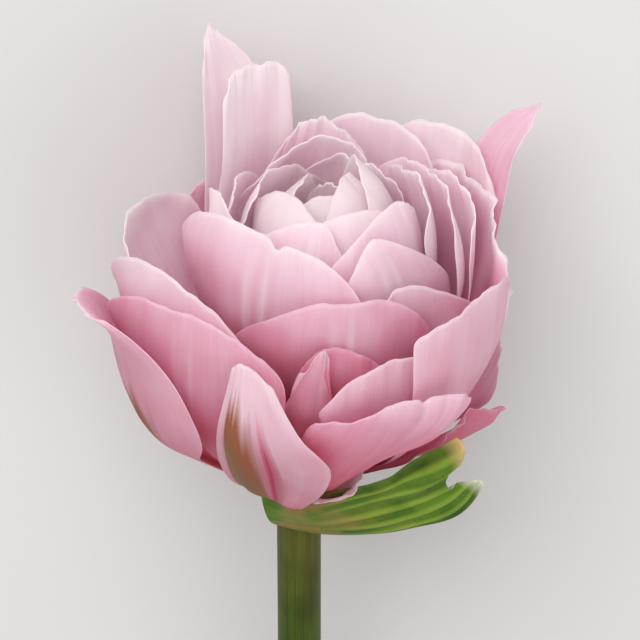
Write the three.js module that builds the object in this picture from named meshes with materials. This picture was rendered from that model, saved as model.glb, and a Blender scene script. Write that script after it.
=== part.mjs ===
import * as THREE from 'three';

// Double pink tulip, cut and lying down. Sizes in millimetres, angles in degrees.
// The bloom is described upright first: its foot at the origin, +Z up its axis and -Y
// its front. It is then leaned over on the stem, laid on its back and set on the ground.

// Stem, and the cone inside the bloom that carries the petals
const STEM_LENGTH = 150;
const STEM_RADIUS = 4.1;
const NECK_DEPTH = 8;
const STEM_SIDES = 20;
const CONE_HEIGHT = 33;
const CONE_RADIUS = 5.3;
const CONE_TIP_RADIUS = 1.0;

// Blades: thickness, and the least space from one petal's middle surface to the next
const BLADE = 0.62;
const BRACT_BLADE = 0.8;
const SPACE = 1.0;

// Gap from a petal's foot to the cone, and the share of a move while settling that the
// foot and the row of points above it take
const SEAT_GAP = 0.3;
const FOOT_SHARES = [0, 0.6];

// Grid of a petal's solid, and how much finer it is looked at while it settles
const COLUMNS = 10;
const ROWS = 8;
const FINER = 5;

// Settling: below HIP petals are moved away from the axis point at that height, above
// SHOULDER away from that point, and level between them. The space already taken is
// kept in cells, CELL_ROUND degrees round, and CELL_CAP degrees or 1 mm up.
const HIP = 30;
const SHOULDER = 46;
const CELL_ROUND = 1.5;
const CELL_CAP = 2.0;
const CELLS_ROUND = Math.round(360 / CELL_ROUND);
const CELLS_CAP = Math.round(90 / CELL_CAP);
const CELLS_UP = 2 * CELLS_CAP + SHOULDER - HIP + 2;

// A point takes the cells up to TAKE_REACH to each side, at most TAKE_CELLS of them, and
// near the axis a cell counts as CELL_LEAST wide. ON_AXIS keeps a level reach above zero.
const TAKE_REACH = 0.6;
const TAKE_CELLS = 20;
const CELL_LEAST = 0.03;
const ON_AXIS = 1e-9;

// A petal is moved in SETTLE_TURNS turns, the later ones to LATER_SPACE of the space. A
// slanting blade gets more room, up to LEAST_SLANT. Moves are evened with neighbour rows.
const SETTLE_TURNS = 3;
const LATER_SPACE = 0.95;
const LEAST_SLANT = 0.6;
const ROW_SHARES = [[-1, 0.25], [0, 0.5], [1, 0.25]];

// How far from its middle line, as a part of the half width, a keel has taken its bend
const KEEL_WIDTH = 0.12;

// How the bloom leans on the stem, and how the flower lies
const LEAN = 5;
const LIE_TILT = 9.5;
const FLOOR_PRESS = 0.5;

const PINK = 0xf0b6c4;
const GREEN = 0x7d9a3a;
const ROUGHNESS = 0.6;

// A petal's sizes. foot: height of its foot on the cone; spine: points (out, up, side)
// that its middle line runs through in its own upright plane; width, or left and right:
// half widths from foot to top; cup: how far its section bends towards the axis, in
// degrees at the margin, from foot to top; fold: a keel's bend; twist: turn of the blade
// about its spine; top: (drop, fullness, roundness) of its upper margin; notch: (place,
// width, depth) of a dip in that margin.
const PETALS = [
  {
    name: 'petal_bud_1', azimuth: 60, foot: 33,
    spine: [[3.5, 36], [5, 45], [5.2, 54], [3.8, 61], [0.8, 65.5]],
    width: [1.5, 3, 5, 6.5, 6, 3.5],
    cup: [70, 70, 62, 50, 40], top: [0.2, 2, 0.5],
  },
  {
    name: 'petal_bud_2', azimuth: 272, foot: 32.4,
    spine: [[3.8, 36], [5.8, 45], [6.4, 54], [5.4, 61], [2.4, 65.6]],
    width: [1.5, 3, 5.5, 7.5, 8.5, 6],
    cup: [70, 70, 62, 50, 40], top: [0.2, 2, 0.5],
  },
  {
    name: 'petal_bud_3', azimuth: 330, foot: 31.5,
    spine: [[4.2, 35], [6.6, 44], [7.2, 54], [5.6, 61], [2, 65.8]],
    width: [1.5, 3.5, 6, 8.5, 8.5, 6],
    cup: [65, 65, 60, 50, 40], top: [0.22, 2, 0.5],
  },
  {
    name: 'petal_bud_4', azimuth: 12, foot: 30.4,
    spine: [[4.6, 35], [7.7, 44], [8.6, 53], [7.3, 60.5], [3.2, 66]],
    width: [1.5, 3.5, 7, 10, 10.5, 8],
    cup: [65, 65, 60, 52, 42], top: [0.25, 2, 0.5],
  },
  {
    name: 'petal_bud_5', azimuth: 160, foot: 29.9,
    spine: [[5, 34], [8.6, 43], [9.6, 53], [8.4, 60.5], [4.4, 65.6]],
    width: [1.5, 3.5, 7.5, 10, 10.5, 8],
    cup: [64, 64, 60, 52, 42], top: [0.25, 2, 0.5],
  },
  {
    name: 'petal_bud_6', azimuth: 222, foot: 29.1,
    spine: [[5.2, 33], [9.3, 42], [10.8, 52], [10, 59], [6.6, 63.4]],
    width: [1.5, 3.5, 8, 11, 12, 10],
    cup: [62, 62, 60, 52, 45], top: [0.22, 2, 0.5], space: 1.1,
  },
  {
    name: 'petal_bud_front_middle', azimuth: 290, foot: 28.4,
    spine: [[5.6, 32], [9.8, 40.5], [11.3, 50.5], [10.6, 58], [8, 62.5]],
    width: [1.5, 3.8, 8, 11.5, 12, 10],
    cup: [62, 60, 56, 50, 45], top: [0.2, 2, 0.5],
  },
  {
    name: 'petal_bud_front', azimuth: 262, foot: 27.2,
    spine: [[6, 31], [10.6, 39], [12.5, 49.5], [12.3, 57], [10, 62.2]],
    left: [1.5, 4, 9, 12, 12, 10], right: [1.5, 4, 7, 7, 5, 3],
    cup: [60, 58, 55, 50, 45], top: [0.25, 2, 0.6],
  },
  {
    name: 'petal_bud_back_left', azimuth: 150, foot: 26.7,
    spine: [[6, 31], [11.5, 39], [14, 50], [13.6, 58], [11, 64]],
    width: [1.5, 4, 9, 14, 16, 13],
    cup: [60, 58, 55], top: [0.2, 2, 0.5],
  },
  {
    name: 'petal_bud_back_right', azimuth: 50, foot: 26.1,
    spine: [[6.4, 30.5], [11.4, 38.5], [13.4, 50], [12.8, 58], [10.2, 64]],
    left: [1.5, 4, 7.5, 9, 9, 7], right: [1.5, 4, 9, 12, 13, 10],
    cup: [60, 58, 55], top: [0.2, 2, 0.5],
  },
  {
    name: 'petal_bud_front_right', azimuth: 323, foot: 25.5,
    spine: [[7, 30], [11.8, 38], [13.4, 50], [13, 58], [11, 64.3]],
    left: [1.5, 4, 8, 12, 13, 11], right: [1.5, 4, 7, 8.5, 8, 5],
    cup: [60, 55, 55], top: [0.25, 2, 0.6],
  },
  {
    name: 'petal_bud_back', azimuth: 92, foot: 24.8,
    spine: [[7.5, 28.5], [13, 36], [15.5, 50], [15.5, 59], [13.5, 65]],
    left: [1.5, 4, 8, 11, 11, 8], right: [1.5, 4, 10, 15, 17, 13],
    cup: [60, 58, 55], top: [0.2, 2, 0.5],
  },
  {
    name: 'petal_bud_right', azimuth: 13, foot: 24.2,
    spine: [[7.2, 29], [12, 37], [13.8, 50], [13.2, 59], [11.5, 64.5]],
    width: [1.5, 4, 7, 9, 9.5, 8],
    cup: [60, 55, 50], top: [0.2, 2, 0.5],
  },
  {
    name: 'petal_bud_cover', azimuth: 304, foot: 23,
    spine: [[8, 27, 1.5], [13.5, 34, 3], [15.3, 46, 2.5], [14.8, 55, 0], [13, 61, -2.5]],
    left: [1.5, 4, 11, 15, 14, 8], right: [1.5, 4, 8.5, 10.5, 10, 6],
    cup: [58, 55, 50], top: [0.3, 1.6, 0.7], notch: [[1, 0.5, 0.14]],
  },
  {
    name: 'petal_bud_left', azimuth: 168, foot: 22.3,
    spine: [[8, 26.5], [14, 34], [17, 48], [17, 56], [16, 62]],
    width: [1.5, 4, 9, 12, 13, 10],
    cup: [58, 50, 45], top: [0.2, 2, 0.5],
  },
  {
    name: 'petal_inner_lobe', azimuth: 205, foot: 21.2,
    spine: [[9, 25.5], [15, 33], [18, 47], [19.5, 58], [21, 68]],
    width: [1.5, 4, 6, 7, 7, 6],
    cup: [55, 35, 25], top: [0.15, 2, 0.5],
  },
  {
    name: 'petal_inner_right', azimuth: 22, foot: 20.5,
    spine: [[9, 25], [14.5, 33], [17, 47], [17.5, 58], [16.5, 65]],
    width: [1.5, 4, 9, 12, 13, 10],
    cup: [58, 50, 48], top: [0.2, 2, 0.5],
  },
  {
    name: 'petal_inner_back', azimuth: 95, foot: 19.8,
    spine: [[9.5, 24], [16.3, 33], [19.5, 47], [20, 58], [20, 67]],
    width: [1.5, 4, 8, 10, 9, 6],
    cup: [55, 40, 35], top: [0.2, 2, 0.5],
  },
  {
    name: 'petal_inner_front_left', azimuth: 238, foot: 19,
    spine: [[10.5, 23], [17.5, 31], [20.5, 44], [21, 55], [19.8, 65]],
    left: [1.8, 5, 10, 15, 18, 15], right: [1.8, 5, 11, 16, 18, 15],
    cup: [55, 48, 43], top: [0.19, 3, 0.5], notch: [[0.15, 0.06, 0.03]],
  },
  {
    name: 'petal_inner_right_edge', azimuth: 18, foot: 18,
    spine: [[10.5, 22.5], [17, 31], [20, 45], [20.5, 56], [20, 64]],
    width: [1.8, 5, 9, 12, 12, 10],
    cup: [50, 42, 40], top: [0.2, 2, 0.5],
  },
  {
    name: 'petal_inner_front_right', azimuth: 310, foot: 17.8,
    spine: [[11.3, 21], [19, 30], [22, 42], [22, 50, -1], [20.5, 57.5, -2]],
    left: [1.8, 5, 9, 10, 8, 5], right: [1.8, 5, 11, 15, 16, 14],
    cup: [50, 45, 40], top: [0.25, 2, 0.5], notch: [[1, 0.6, 0.15]],
  },
  {
    name: 'petal_inner_front', azimuth: 278, foot: 16.5,
    spine: [[11.5, 20.5], [19.5, 29], [23, 41], [23, 50], [21.5, 57]],
    left: [2, 6, 13, 18, 20, 18], right: [2, 6, 12, 15, 15.5, 14],
    cup: [55, 50, 48], top: [0.22, 3, 0.5], notch: [[-1, 0.55, 0.1]],
  },
  {
    name: 'petal_back_left', azimuth: 129, foot: 16.8,
    spine: [[12.5, 19.5], [20.5, 29], [22, 46], [22, 62], [24, 78]],
    width: [2, 5, 8, 9, 8.5, 7.5],
    cup: [48, 38, 30], top: [0.07, 3, 0.5],
  },
  {
    name: 'petal_back_left_spike', azimuth: 121, foot: 15.3,
    spine: [[15, 20], [24, 29], [27.5, 42, 1], [29, 55, 2], [31.5, 67, 3.5], [35, 81, 6]],
    left: [2, 6, 9, 10, 9.5, 7.5, 2], right: [2, 6, 8, 8, 7, 5, 1],
    cup: [45, 34, 25], top: [0.1, 1.5, 0.7],
  },
  {
    name: 'petal_left_cup', azimuth: 165, foot: 14.4,
    spine: [[13, 18.5], [22.5, 27], [30, 36], [34.5, 44], [35.5, 51.5]],
    left: [2, 6, 13, 18, 19, 15], right: [2, 6, 13, 19, 21, 18],
    cup: [50, 45, 42], top: [0.16, 2, 0.5],
  },
  {
    name: 'petal_front_middle', azimuth: 273, foot: 14,
    spine: [[13.5, 17.5], [21.5, 26], [25, 36], [25.5, 43], [24.5, 50]],
    left: [2, 4, 5, 6, 5.5, 4], right: [2, 5, 9, 12, 12, 10],
    cup: [48, 42, 38], top: [0.22, 2, 0.5],
  },
  {
    name: 'petal_back', azimuth: 70, foot: 13,
    spine: [[14.5, 17], [22.5, 27], [26, 42], [27, 54], [27, 65]],
    width: [2, 6, 12, 14, 14, 11],
    cup: [48, 38, 32], top: [0.12, 2.5, 0.5],
  },
  {
    name: 'petal_front_sliver', azimuth: 271, foot: 12,
    spine: [[14.5, 16.5], [23.5, 25], [27, 35], [27, 43], [26.5, 50.5]],
    left: [2, 4, 7, 7.5, 5, 1.5], right: [2, 4, 5, 4, 2, 0.8],
    cup: [50, 30, 20], top: [0.1, 2, 0.5],
  },
  {
    name: 'petal_right_wrap', azimuth: 28, foot: 11,
    spine: [[15.5, 15.5], [25, 25], [29, 37], [30.5, 49], [29.5, 60]],
    width: [2.5, 6, 13, 19, 22, 18],
    cup: [48, 44, 42], top: [0.18, 2.5, 0.5],
  },
  {
    name: 'petal_left_front_inner', azimuth: 210, foot: 10,
    spine: [[16, 14.5], [26, 25], [31, 37], [33, 47], [33, 57]],
    left: [2.5, 6, 12, 17, 19, 16], right: [2.5, 6, 12, 18, 21, 19],
    cup: [48, 38, 33], twist: [0, -5, -18], top: [0.3, 2, 0.5],
  },
  {
    name: 'petal_back_right', azimuth: 46, foot: 9,
    spine: [[16.5, 13.5], [26, 24], [29, 38], [30, 53], [31, 65]],
    width: [2.5, 6, 11, 13, 13, 10],
    cup: [45, 32, 28], top: [0.12, 2.5, 0.5],
  },
  {
    name: 'petal_front_right_inner', azimuth: 296, foot: 8,
    spine: [[15, 15.5], [23, 23.5], [28.5, 33], [31, 41], [30, 49]],
    left: [2.5, 4, 6.5, 10, 13, 12], right: [2.5, 6, 13, 17, 18, 16],
    cup: [48, 42, 38], top: [0.2, 2.2, 0.5],
  },
  {
    name: 'petal_right_front', azimuth: 337, foot: 6.5,
    spine: [[15.5, 14.5], [24, 23.5], [30.5, 33.5], [33.5, 45], [32.5, 58]],
    left: [2.5, 6, 13, 20, 23, 22], right: [2.5, 6, 12, 17, 18, 16],
    cup: [48, 42, 40], top: [0.06, 2.5, 0.5], notch: [[1, 0.7, 0.14]],
  },
  {
    name: 'petal_left_front', azimuth: 226, foot: 6,
    spine: [[17, 11.5], [27, 22], [32, 33], [34, 44], [34, 53.5]],
    left: [2.5, 6, 12, 18, 21, 18], right: [2.5, 6, 12, 17, 19, 16],
    cup: [48, 38, 32], twist: [0, -4, -14], top: [0.2, 2.2, 0.5],
  },
  {
    name: 'petal_back_right_spike', azimuth: 31, foot: 5.9,
    spine: [[18, 10.5], [27, 21], [30.5, 36], [32, 50], [35, 64], [42, 74, -2]],
    left: [2.5, 6, 9, 9, 8, 6, 2], right: [2.5, 6, 11, 13, 10.5, 5, 1.5],
    cup: [45, 34, 25], top: [0.1, 1.5, 0.7],
  },
  {
    name: 'petal_low_right_back', azimuth: 14, foot: 4.8,
    spine: [[15, 10.5], [26, 16.5], [33, 23], [35, 30.5]],
    width: [2, 6, 10, 11, 9],
    cup: [45, 36, 28], top: [0.2, 1.8, 0.5],
  },
  {
    name: 'petal_low_right', azimuth: 336, foot: 4.1,
    spine: [[14, 12], [22.5, 18], [28, 23.5], [30.5, 28.5]],
    left: [2.5, 4, 5, 6, 7], right: [2.5, 5, 8.5, 10, 8],
    cup: [45, 36, 30], top: [0.2, 1.5, 0.5],
  },
  {
    name: 'petal_low_front_right', azimuth: 277, foot: 3.6,
    spine: [[14, 14], [21.8, 24, 2.8], [27.5, 32, 6], [30.8, 38, 8], [32.2, 42, 9], [32.2, 45, 9]],
    left: [2.5, 3, 4.4, 7.6, 11, 11.5, 11], right: [2, 1.6, 1, 1.2, 4, 9.5, 14],
    cup: [45, 42, 38], top: [0.05, 2, 0.5], notch: [[-1.1, 0.6, 0.16], [0.3, 0.06, 0.025]],
  },
  {
    name: 'petal_under_left', azimuth: 119, foot: 3,
    spine: [[19.5, 7.5], [30, 18.5], [34.6, 30.5], [35, 42], [33.4, 51]],
    width: [3, 7, 13, 16, 15, 9],
    cup: [45, 34, 28], top: [0.15, 1.5, 0.7], lies: true,
  },
  {
    name: 'petal_under_right', azimuth: 57, foot: 2.2,
    spine: [[19, 8], [30, 18], [34, 30], [34.5, 41], [33, 50]],
    width: [3, 7, 13, 16, 15, 9],
    cup: [45, 34, 28], top: [0.15, 1.5, 0.7], lies: true,
  },
  {
    name: 'petal_low_curl', azimuth: 285, foot: 2.4,
    spine: [[11.5, 9.5], [15.3, 14, 2], [18, 17.5, 4.5]],
    width: [2.5, 4, 4.5, 3.5],
    cup: [45, 30, 20], top: [0.25, 2, 0.5],
  },
  {
    name: 'petal_left_spike', azimuth: 201, foot: 1,
    spine: [[18, 8.5], [30, 18.5], [35, 28], [37.5, 38], [41, 44], [46, 49]],
    left: [3, 6, 11, 14, 13, 9, 4], right: [3, 4.5, 9, 18, 22, 15, 4],
    cup: [50, 42, 34], top: [0.06, 1.5, 0.7],
  },
  {
    name: 'petal_front_keel', azimuth: 247, foot: 0,
    spine: [[15, 8], [24, 14.5], [32, 24.5], [36, 35], [34.5, 49]],
    left: [3, 4.5, 5.5, 5, 3.8, 2], right: [3, 6, 12.5, 16, 12, 2.5],
    cup: [48, 28, 20], fold: [0, 14, 20], top: [0.06, 2, 0.5],
  },
  {
    name: 'green_bract', azimuth: 0, foot: 0, free: true,
    spine: [[-5.6, -1.2, -9], [2.6, 0.8, -12.4], [10.8, 4.4, -15], [18, 9, -16.2], [24.2, 14.4, -16.8],
      [29.4, 19.6, -17]],
    left: [3.8, 6.4, 9.5, 12.5, 15, 14], right: [4.2, 5.4, 6.4, 7.6, 9, 4.5],
    cup: [34, 30, 25], twist: [74, 78, 82, 86, 90, 92], top: [0.03, 2, 0.5],
    notch: [[-0.1, 0.5, 0.14]], space: 1.2,
  },
];

function radians(degrees) {
  return degrees * Math.PI / 180;
}

function between(value, low, high) {
  return Math.min(Math.max(value, low), high);
}

// Smooth run through equally spaced values (a Catmull-Rom curve), at 0 to 1.
function run(values, at) {
  if (typeof values === 'number') {
    return values;
  }
  const last = values.length - 1;
  const place = between(at, 0, 1) * last;
  const i = Math.min(Math.floor(place), last - 1);
  const f = place - i;
  const p1 = values[i];
  const p2 = values[i + 1];
  const p0 = i > 0 ? values[i - 1] : 2 * p1 - p2;
  const p3 = i < last - 1 ? values[i + 2] : 2 * p2 - p1;
  const square = (2 * p0 - 5 * p1 + 4 * p2 - p3) * f * f;
  const cube = (3 * p1 - p0 - 3 * p2 + p3) * f * f * f;
  return 0.5 * (2 * p1 + (p2 - p0) * f + square + cube);
}

function coneRadius(height) {
  return CONE_TIP_RADIUS + (CONE_RADIUS - CONE_TIP_RADIUS) * (1 - height / CONE_HEIGHT);
}

// How far out the middle of a petal's foot lies, so that its margins clear the cone.
function footRadius(petal) {
  const width = petal.width ? petal.width[0] : Math.max(petal.left[0], petal.right[0]);
  const bend = radians(petal.cup[0]);
  const seat = coneRadius(petal.foot) + SEAT_GAP + BLADE / 2;
  const aside = width * Math.sin(bend) / bend;
  return width * (1 - Math.cos(bend)) / bend + Math.sqrt(seat ** 2 - aside ** 2);
}

// Middle line of a petal: STEPS + 1 frames, evenly spaced along its length. Each has its
// point, the direction across the blade and the direction out of its back.
const STEPS = 120;
const CURVE_STEPS = 160;

function middleLine(petal) {
  const azimuth = radians(petal.azimuth);
  const out = new THREE.Vector3(Math.cos(azimuth), Math.sin(azimuth), 0);
  const round = new THREE.Vector3(-Math.sin(azimuth), Math.cos(azimuth), 0);
  const spine = petal.free ? petal.spine : [[footRadius(petal), petal.foot], ...petal.spine];
  const runs = [0, 2, 1].map((k) => spine.map((point) => point[k] ?? 0));
  const curve = [];
  const reach = [0];
  for (let i = 0; i < CURVE_STEPS; i++) {
    curve.push(new THREE.Vector3(...runs.map((values) => run(values, i / (CURVE_STEPS - 1)))));
    if (i > 0) {
      reach.push(reach[i - 1] + curve[i].distanceTo(curve[i - 1]));
    }
  }
  const points = [];
  for (let k = 0, i = 0; k <= STEPS; k++) {
    const length = reach[CURVE_STEPS - 1] * k / STEPS;
    while (i < CURVE_STEPS - 2 && reach[i + 1] < length) {
      i++;
    }
    const f = between((length - reach[i]) / (reach[i + 1] - reach[i]), 0, 1);
    const plane = curve[i].clone().lerp(curve[i + 1], f);
    const point = out.clone().multiplyScalar(plane.x).addScaledVector(round, plane.y);
    point.z += plane.z;
    points.push(point);
  }
  return points.map((point, k) => {
    const before = points[Math.max(k - 1, 0)];
    const after = points[Math.min(k + 1, STEPS)];
    const along = after.clone().sub(before).normalize();
    const side = round.clone().addScaledVector(along, -along.dot(round)).normalize();
    const back = side.clone().cross(along);
    const turn = radians(run(petal.twist ?? 0, k / STEPS));
    const across = side.clone().multiplyScalar(Math.cos(turn)).addScaledVector(back, Math.sin(turn));
    back.multiplyScalar(Math.cos(turn)).addScaledVector(side, -Math.sin(turn));
    return { point, across, back };
  });
}

// Height of the upper margin, 0 to 1, at a place across the blade, -1 to 1.
function marginHeight(petal, place) {
  const [drop, fullness, roundness] = petal.top;
  const dome = Math.max(1 - Math.abs(place) ** fullness, 0) ** roundness;
  let height = 1 - drop + drop * dome;
  for (const [at, width, depth] of petal.notch ?? []) {
    height -= depth * Math.exp(-(((place - at) / width) ** 2));
  }
  return height;
}

// How far the section has turned from flat at a place across the blade.
function sectionTurn(petal, place, height) {
  const cup = radians(run(petal.cup, height));
  const fold = radians(run(petal.fold ?? 0, height));
  return Math.sign(place) * (cup * Math.abs(place) + fold * Math.tanh(Math.abs(place) / KEEL_WIDTH));
}

// Middle surface of a petal: ROWS + 1 rows of COLUMNS + 1 points. Columns crowd towards
// the margins, and each section is walked out from the middle line, turning as it goes.
const SECTION_STEPS = 24;

function middleSurface(petal) {
  const line = middleLine(petal);
  const rows = [];
  for (let row = 0; row <= ROWS; row++) {
    const points = [];
    for (let column = 0; column <= COLUMNS; column++) {
      const place = Math.sin(Math.PI / 2 * (2 * column / COLUMNS - 1));
      const height = row / ROWS * marginHeight(petal, place);
      const at = between(height, 0, 1) * STEPS;
      const k = Math.min(Math.floor(at), STEPS - 1);
      const f = at - k;
      const point = line[k].point.clone().lerp(line[k + 1].point, f);
      const across = line[k].across.clone().lerp(line[k + 1].across, f);
      const back = line[k].back.clone().lerp(line[k + 1].back, f);
      const halves = place < 0 ? petal.left ?? petal.width : petal.right ?? petal.width;
      const step = place * run(halves, height) / SECTION_STEPS;
      let sideways = 0;
      let inwards = 0;
      for (let i = 0; i < SECTION_STEPS; i++) {
        const from = sectionTurn(petal, place * i / SECTION_STEPS, height);
        const to = sectionTurn(petal, place * (i + 1) / SECTION_STEPS, height);
        sideways += step * (Math.cos(from) + Math.cos(to)) / 2;
        inwards += step * (Math.sin(from) + Math.sin(to)) / 2;
      }
      points.push(point.addScaledVector(across, sideways).addScaledVector(back, -inwards));
    }
    rows.push(points);
  }
  return rows;
}

// Where a point lies round the bloom: its cell numbers, its reach from the axis point
// that it is moved away from, and the direction of that move.
function placeRound(point) {
  const level = Math.hypot(point.x, point.y) + ON_AXIS;
  const rise = Math.max(point.z - SHOULDER, 0) + Math.min(point.z - HIP, 0);
  const reach = Math.hypot(level, rise);
  const azimuth = (Math.atan2(point.y, point.x) * 180 / Math.PI + 360) % 360;
  const slope = Math.atan2(rise, level) * 180 / Math.PI;
  const height = CELLS_CAP + between(point.z - HIP, 0, SHOULDER - HIP) + slope / CELL_CAP;
  const away = new THREE.Vector3(point.x / reach, point.y / reach, rise / reach);
  return {
    level, reach, away, round: azimuth / CELL_ROUND, up: between(height, 0, CELLS_UP - 2),
  };
}

const taken = Array.from({ length: CELLS_ROUND }, () => new Float64Array(CELLS_UP));

function takenAt(place) {
  const i = Math.floor(place.round);
  const j = Math.floor(place.up);
  const next = (i + 1) % CELLS_ROUND;
  const here = i % CELLS_ROUND;
  return Math.max(taken[here][j], taken[here][j + 1], taken[next][j], taken[next][j + 1]);
}

function take(point) {
  const place = placeRound(point);
  const cellWidth = Math.max(radians(CELL_ROUND) * place.level, CELL_LEAST);
  const wide = between(Math.ceil(TAKE_REACH / cellWidth), 1, TAKE_CELLS);
  const i = Math.round(place.round);
  const j = Math.round(place.up);
  for (let round = i - wide; round <= i + wide; round++) {
    const column = taken[(round + CELLS_ROUND) % CELLS_ROUND];
    for (let up = Math.max(j - 1, 0); up <= Math.min(j + 1, CELLS_UP - 1); up++) {
      column[up] = Math.max(column[up], place.reach);
    }
  }
}

// The same surface, FINER times finer each way, by straight lines between its points.
function finer(rows) {
  const result = [];
  for (let v = 0; v <= ROWS * FINER; v++) {
    const j = Math.min(Math.floor(v / FINER), ROWS - 1);
    const line = [];
    for (let u = 0; u <= COLUMNS * FINER; u++) {
      const i = Math.min(Math.floor(u / FINER), COLUMNS - 1);
      const low = rows[j][i].clone().lerp(rows[j][i + 1], u / FINER - i);
      const high = rows[j + 1][i].clone().lerp(rows[j + 1][i + 1], u / FINER - i);
      line.push(low.lerp(high, v / FINER - j));
    }
    result.push(line);
  }
  return result;
}

// Direction out of the back of a grid of points, at one of them.
function backAt(rows, j, i) {
  const up = rows[Math.min(j + 1, rows.length - 1)][i].clone().sub(rows[Math.max(j - 1, 0)][i]);
  const line = rows[j];
  const across = line[Math.min(i + 1, line.length - 1)].clone().sub(line[Math.max(i - 1, 0)]);
  return across.cross(up).normalize();
}

// Moves a petal's points out until it lies clear over the petals settled before it.
function settle(rows, space) {
  for (let turn = 0; turn < SETTLE_TURNS; turn++) {
    const fine = finer(rows);
    const need = fine.map((line, j) => line.map((point, i) => {
      const place = placeRound(point);
      const reach = takenAt(place);
      if (reach === 0) {
        return 0;
      }
      const slant = between(Math.abs(backAt(fine, j, i).dot(place.away)), LEAST_SLANT, 1);
      const wanted = turn === 0 ? space / slant : LATER_SPACE * SPACE;
      return Math.max(reach + wanted - place.reach, 0);
    }));
    const most = rows.map((line, j) => line.map((_, i) => {
      let value = 0;
      for (let v = j * FINER - FINER + 1; v <= j * FINER + FINER - 1; v++) {
        for (let u = i * FINER - FINER + 1; u <= i * FINER + FINER - 1; u++) {
          value = Math.max(value, need[v]?.[u] ?? 0);
        }
      }
      return value;
    }));
    const near = (j, i) => most[between(j, 0, ROWS)][between(i, 0, COLUMNS)];
    rows.forEach((line, j) => line.forEach((point, i) => {
      let mean = 0;
      for (const [dj, weight] of ROW_SHARES) {
        const across = near(j + dj, i - 1) + 2 * near(j + dj, i) + near(j + dj, i + 1);
        mean += weight * across / 4;
      }
      const move = (FOOT_SHARES[j] ?? 1) * Math.max(mean, most[j][i]);
      point.addScaledVector(placeRound(point).away, move);
    }));
  }
  finer(rows).forEach((line) => line.forEach(take));
}

// Closed solid from a grid of points: a back and a front half a blade to each side,
// split into triangles alike, and a wall round the margin.
function bladeSolid(rows, blade) {
  const width = rows[0].length;
  const height = rows.length;
  const position = [];
  for (const half of [blade / 2, -blade / 2]) {
    rows.forEach((line, j) => line.forEach((point, i) => {
      const shifted = point.clone().addScaledVector(backAt(rows, j, i), half);
      position.push(shifted.x, shifted.y, shifted.z);
    }));
  }
  const front = width * height;
  const index = [];
  const wall = (a, b) => index.push(b, a, a + front, b, a + front, b + front);
  for (let j = 0; j < height - 1; j++) {
    for (let i = 0; i < width - 1; i++) {
      const a = j * width + i;
      const b = a + 1;
      const c = b + width;
      const d = a + width;
      index.push(a, b, c, a, c, d);
      index.push(a + front, c + front, b + front, a + front, d + front, c + front);
    }
  }
  for (let i = 0; i < width - 1; i++) {
    wall(i, i + 1);
    wall((height - 1) * width + i + 1, (height - 1) * width + i);
  }
  for (let j = 0; j < height - 1; j++) {
    wall(j * width + width - 1, (j + 1) * width + width - 1);
    wall((j + 1) * width, j * width);
  }
  return solid(position, index);
}

function solid(position, index) {
  const geometry = new THREE.BufferGeometry();
  geometry.setAttribute('position', new THREE.Float32BufferAttribute(position, 3));
  geometry.setIndex(index);
  geometry.computeVertexNormals();
  return geometry;
}

// Stem and cone as one solid: rings of points from the cut end up to the cone's tip.
function stemSolid(toWorld, toBloom) {
  const rings = [
    { height: -STEM_LENGTH, radius: STEM_RADIUS },
    { height: -STEM_LENGTH + 2 * STEM_RADIUS, radius: STEM_RADIUS },
    { height: -STEM_LENGTH / 2, radius: STEM_RADIUS },
    { height: -NECK_DEPTH, radius: STEM_RADIUS },
    { height: -NECK_DEPTH / 2, radius: (STEM_RADIUS + CONE_RADIUS) / 2 },
    { height: 0, radius: CONE_RADIUS },
    { height: CONE_HEIGHT / 2, radius: coneRadius(CONE_HEIGHT / 2) },
    { height: CONE_HEIGHT, radius: coneRadius(CONE_HEIGHT) },
  ];
  const upright = new THREE.Matrix4().makeRotationY(-radians(LEAN));
  const points = rings.map(({ height, radius }) => {
    const ring = [];
    for (let i = 0; i < STEM_SIDES; i++) {
      const angle = 2 * Math.PI * (i + 0.5) / STEM_SIDES;
      const point = new THREE.Vector3(radius * Math.cos(angle), radius * Math.sin(angle), height);
      ring.push(height < 0 ? point.applyMatrix4(upright) : point);
    }
    return ring;
  });
  points.forEach((ring) => ring.forEach((point) => keepAbove(point, 0, toWorld, toBloom)));
  const position = points.flat().flatMap((point) => point.toArray());
  const middle = (ring) => ring.reduce((sum, p) => sum.add(p), new THREE.Vector3())
    .divideScalar(STEM_SIDES);
  position.push(...middle(points[0]).toArray(), ...middle(points.at(-1)).toArray());
  const cut = points.length * STEM_SIDES;
  const tip = cut + 1;
  const index = [];
  for (let i = 0; i < STEM_SIDES; i++) {
    const next = (i + 1) % STEM_SIDES;
    index.push(cut, next, i);
    index.push(tip, (points.length - 1) * STEM_SIDES + i, (points.length - 1) * STEM_SIDES + next);
    for (let ring = 0; ring < points.length - 1; ring++) {
      const a = ring * STEM_SIDES + i;
      const b = ring * STEM_SIDES + next;
      index.push(a, b, b + STEM_SIDES, a, b + STEM_SIDES, a + STEM_SIDES);
    }
  }
  return solid(position, index);
}

// Lifts a point of the bloom to a height above the ground, if it lies lower.
function keepAbove(point, height, toWorld, toBloom) {
  point.applyMatrix4(toWorld);
  point.z = Math.max(point.z, height);
  point.applyMatrix4(toBloom);
}

const grids = PETALS.map((petal) => {
  const rows = middleSurface(petal);
  settle(rows, petal.space ?? SPACE);
  return rows;
});

// The flower lies on its back: the bloom's axis runs along +Y, tilted up so that the
// cut end and the lowest petals both reach the ground.
const flower = new THREE.Group();
const bloom = new THREE.Group();
flower.rotation.x = -radians(90 - LIE_TILT);
bloom.rotation.y = radians(LEAN);
flower.add(bloom);
flower.updateMatrixWorld(true);

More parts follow.
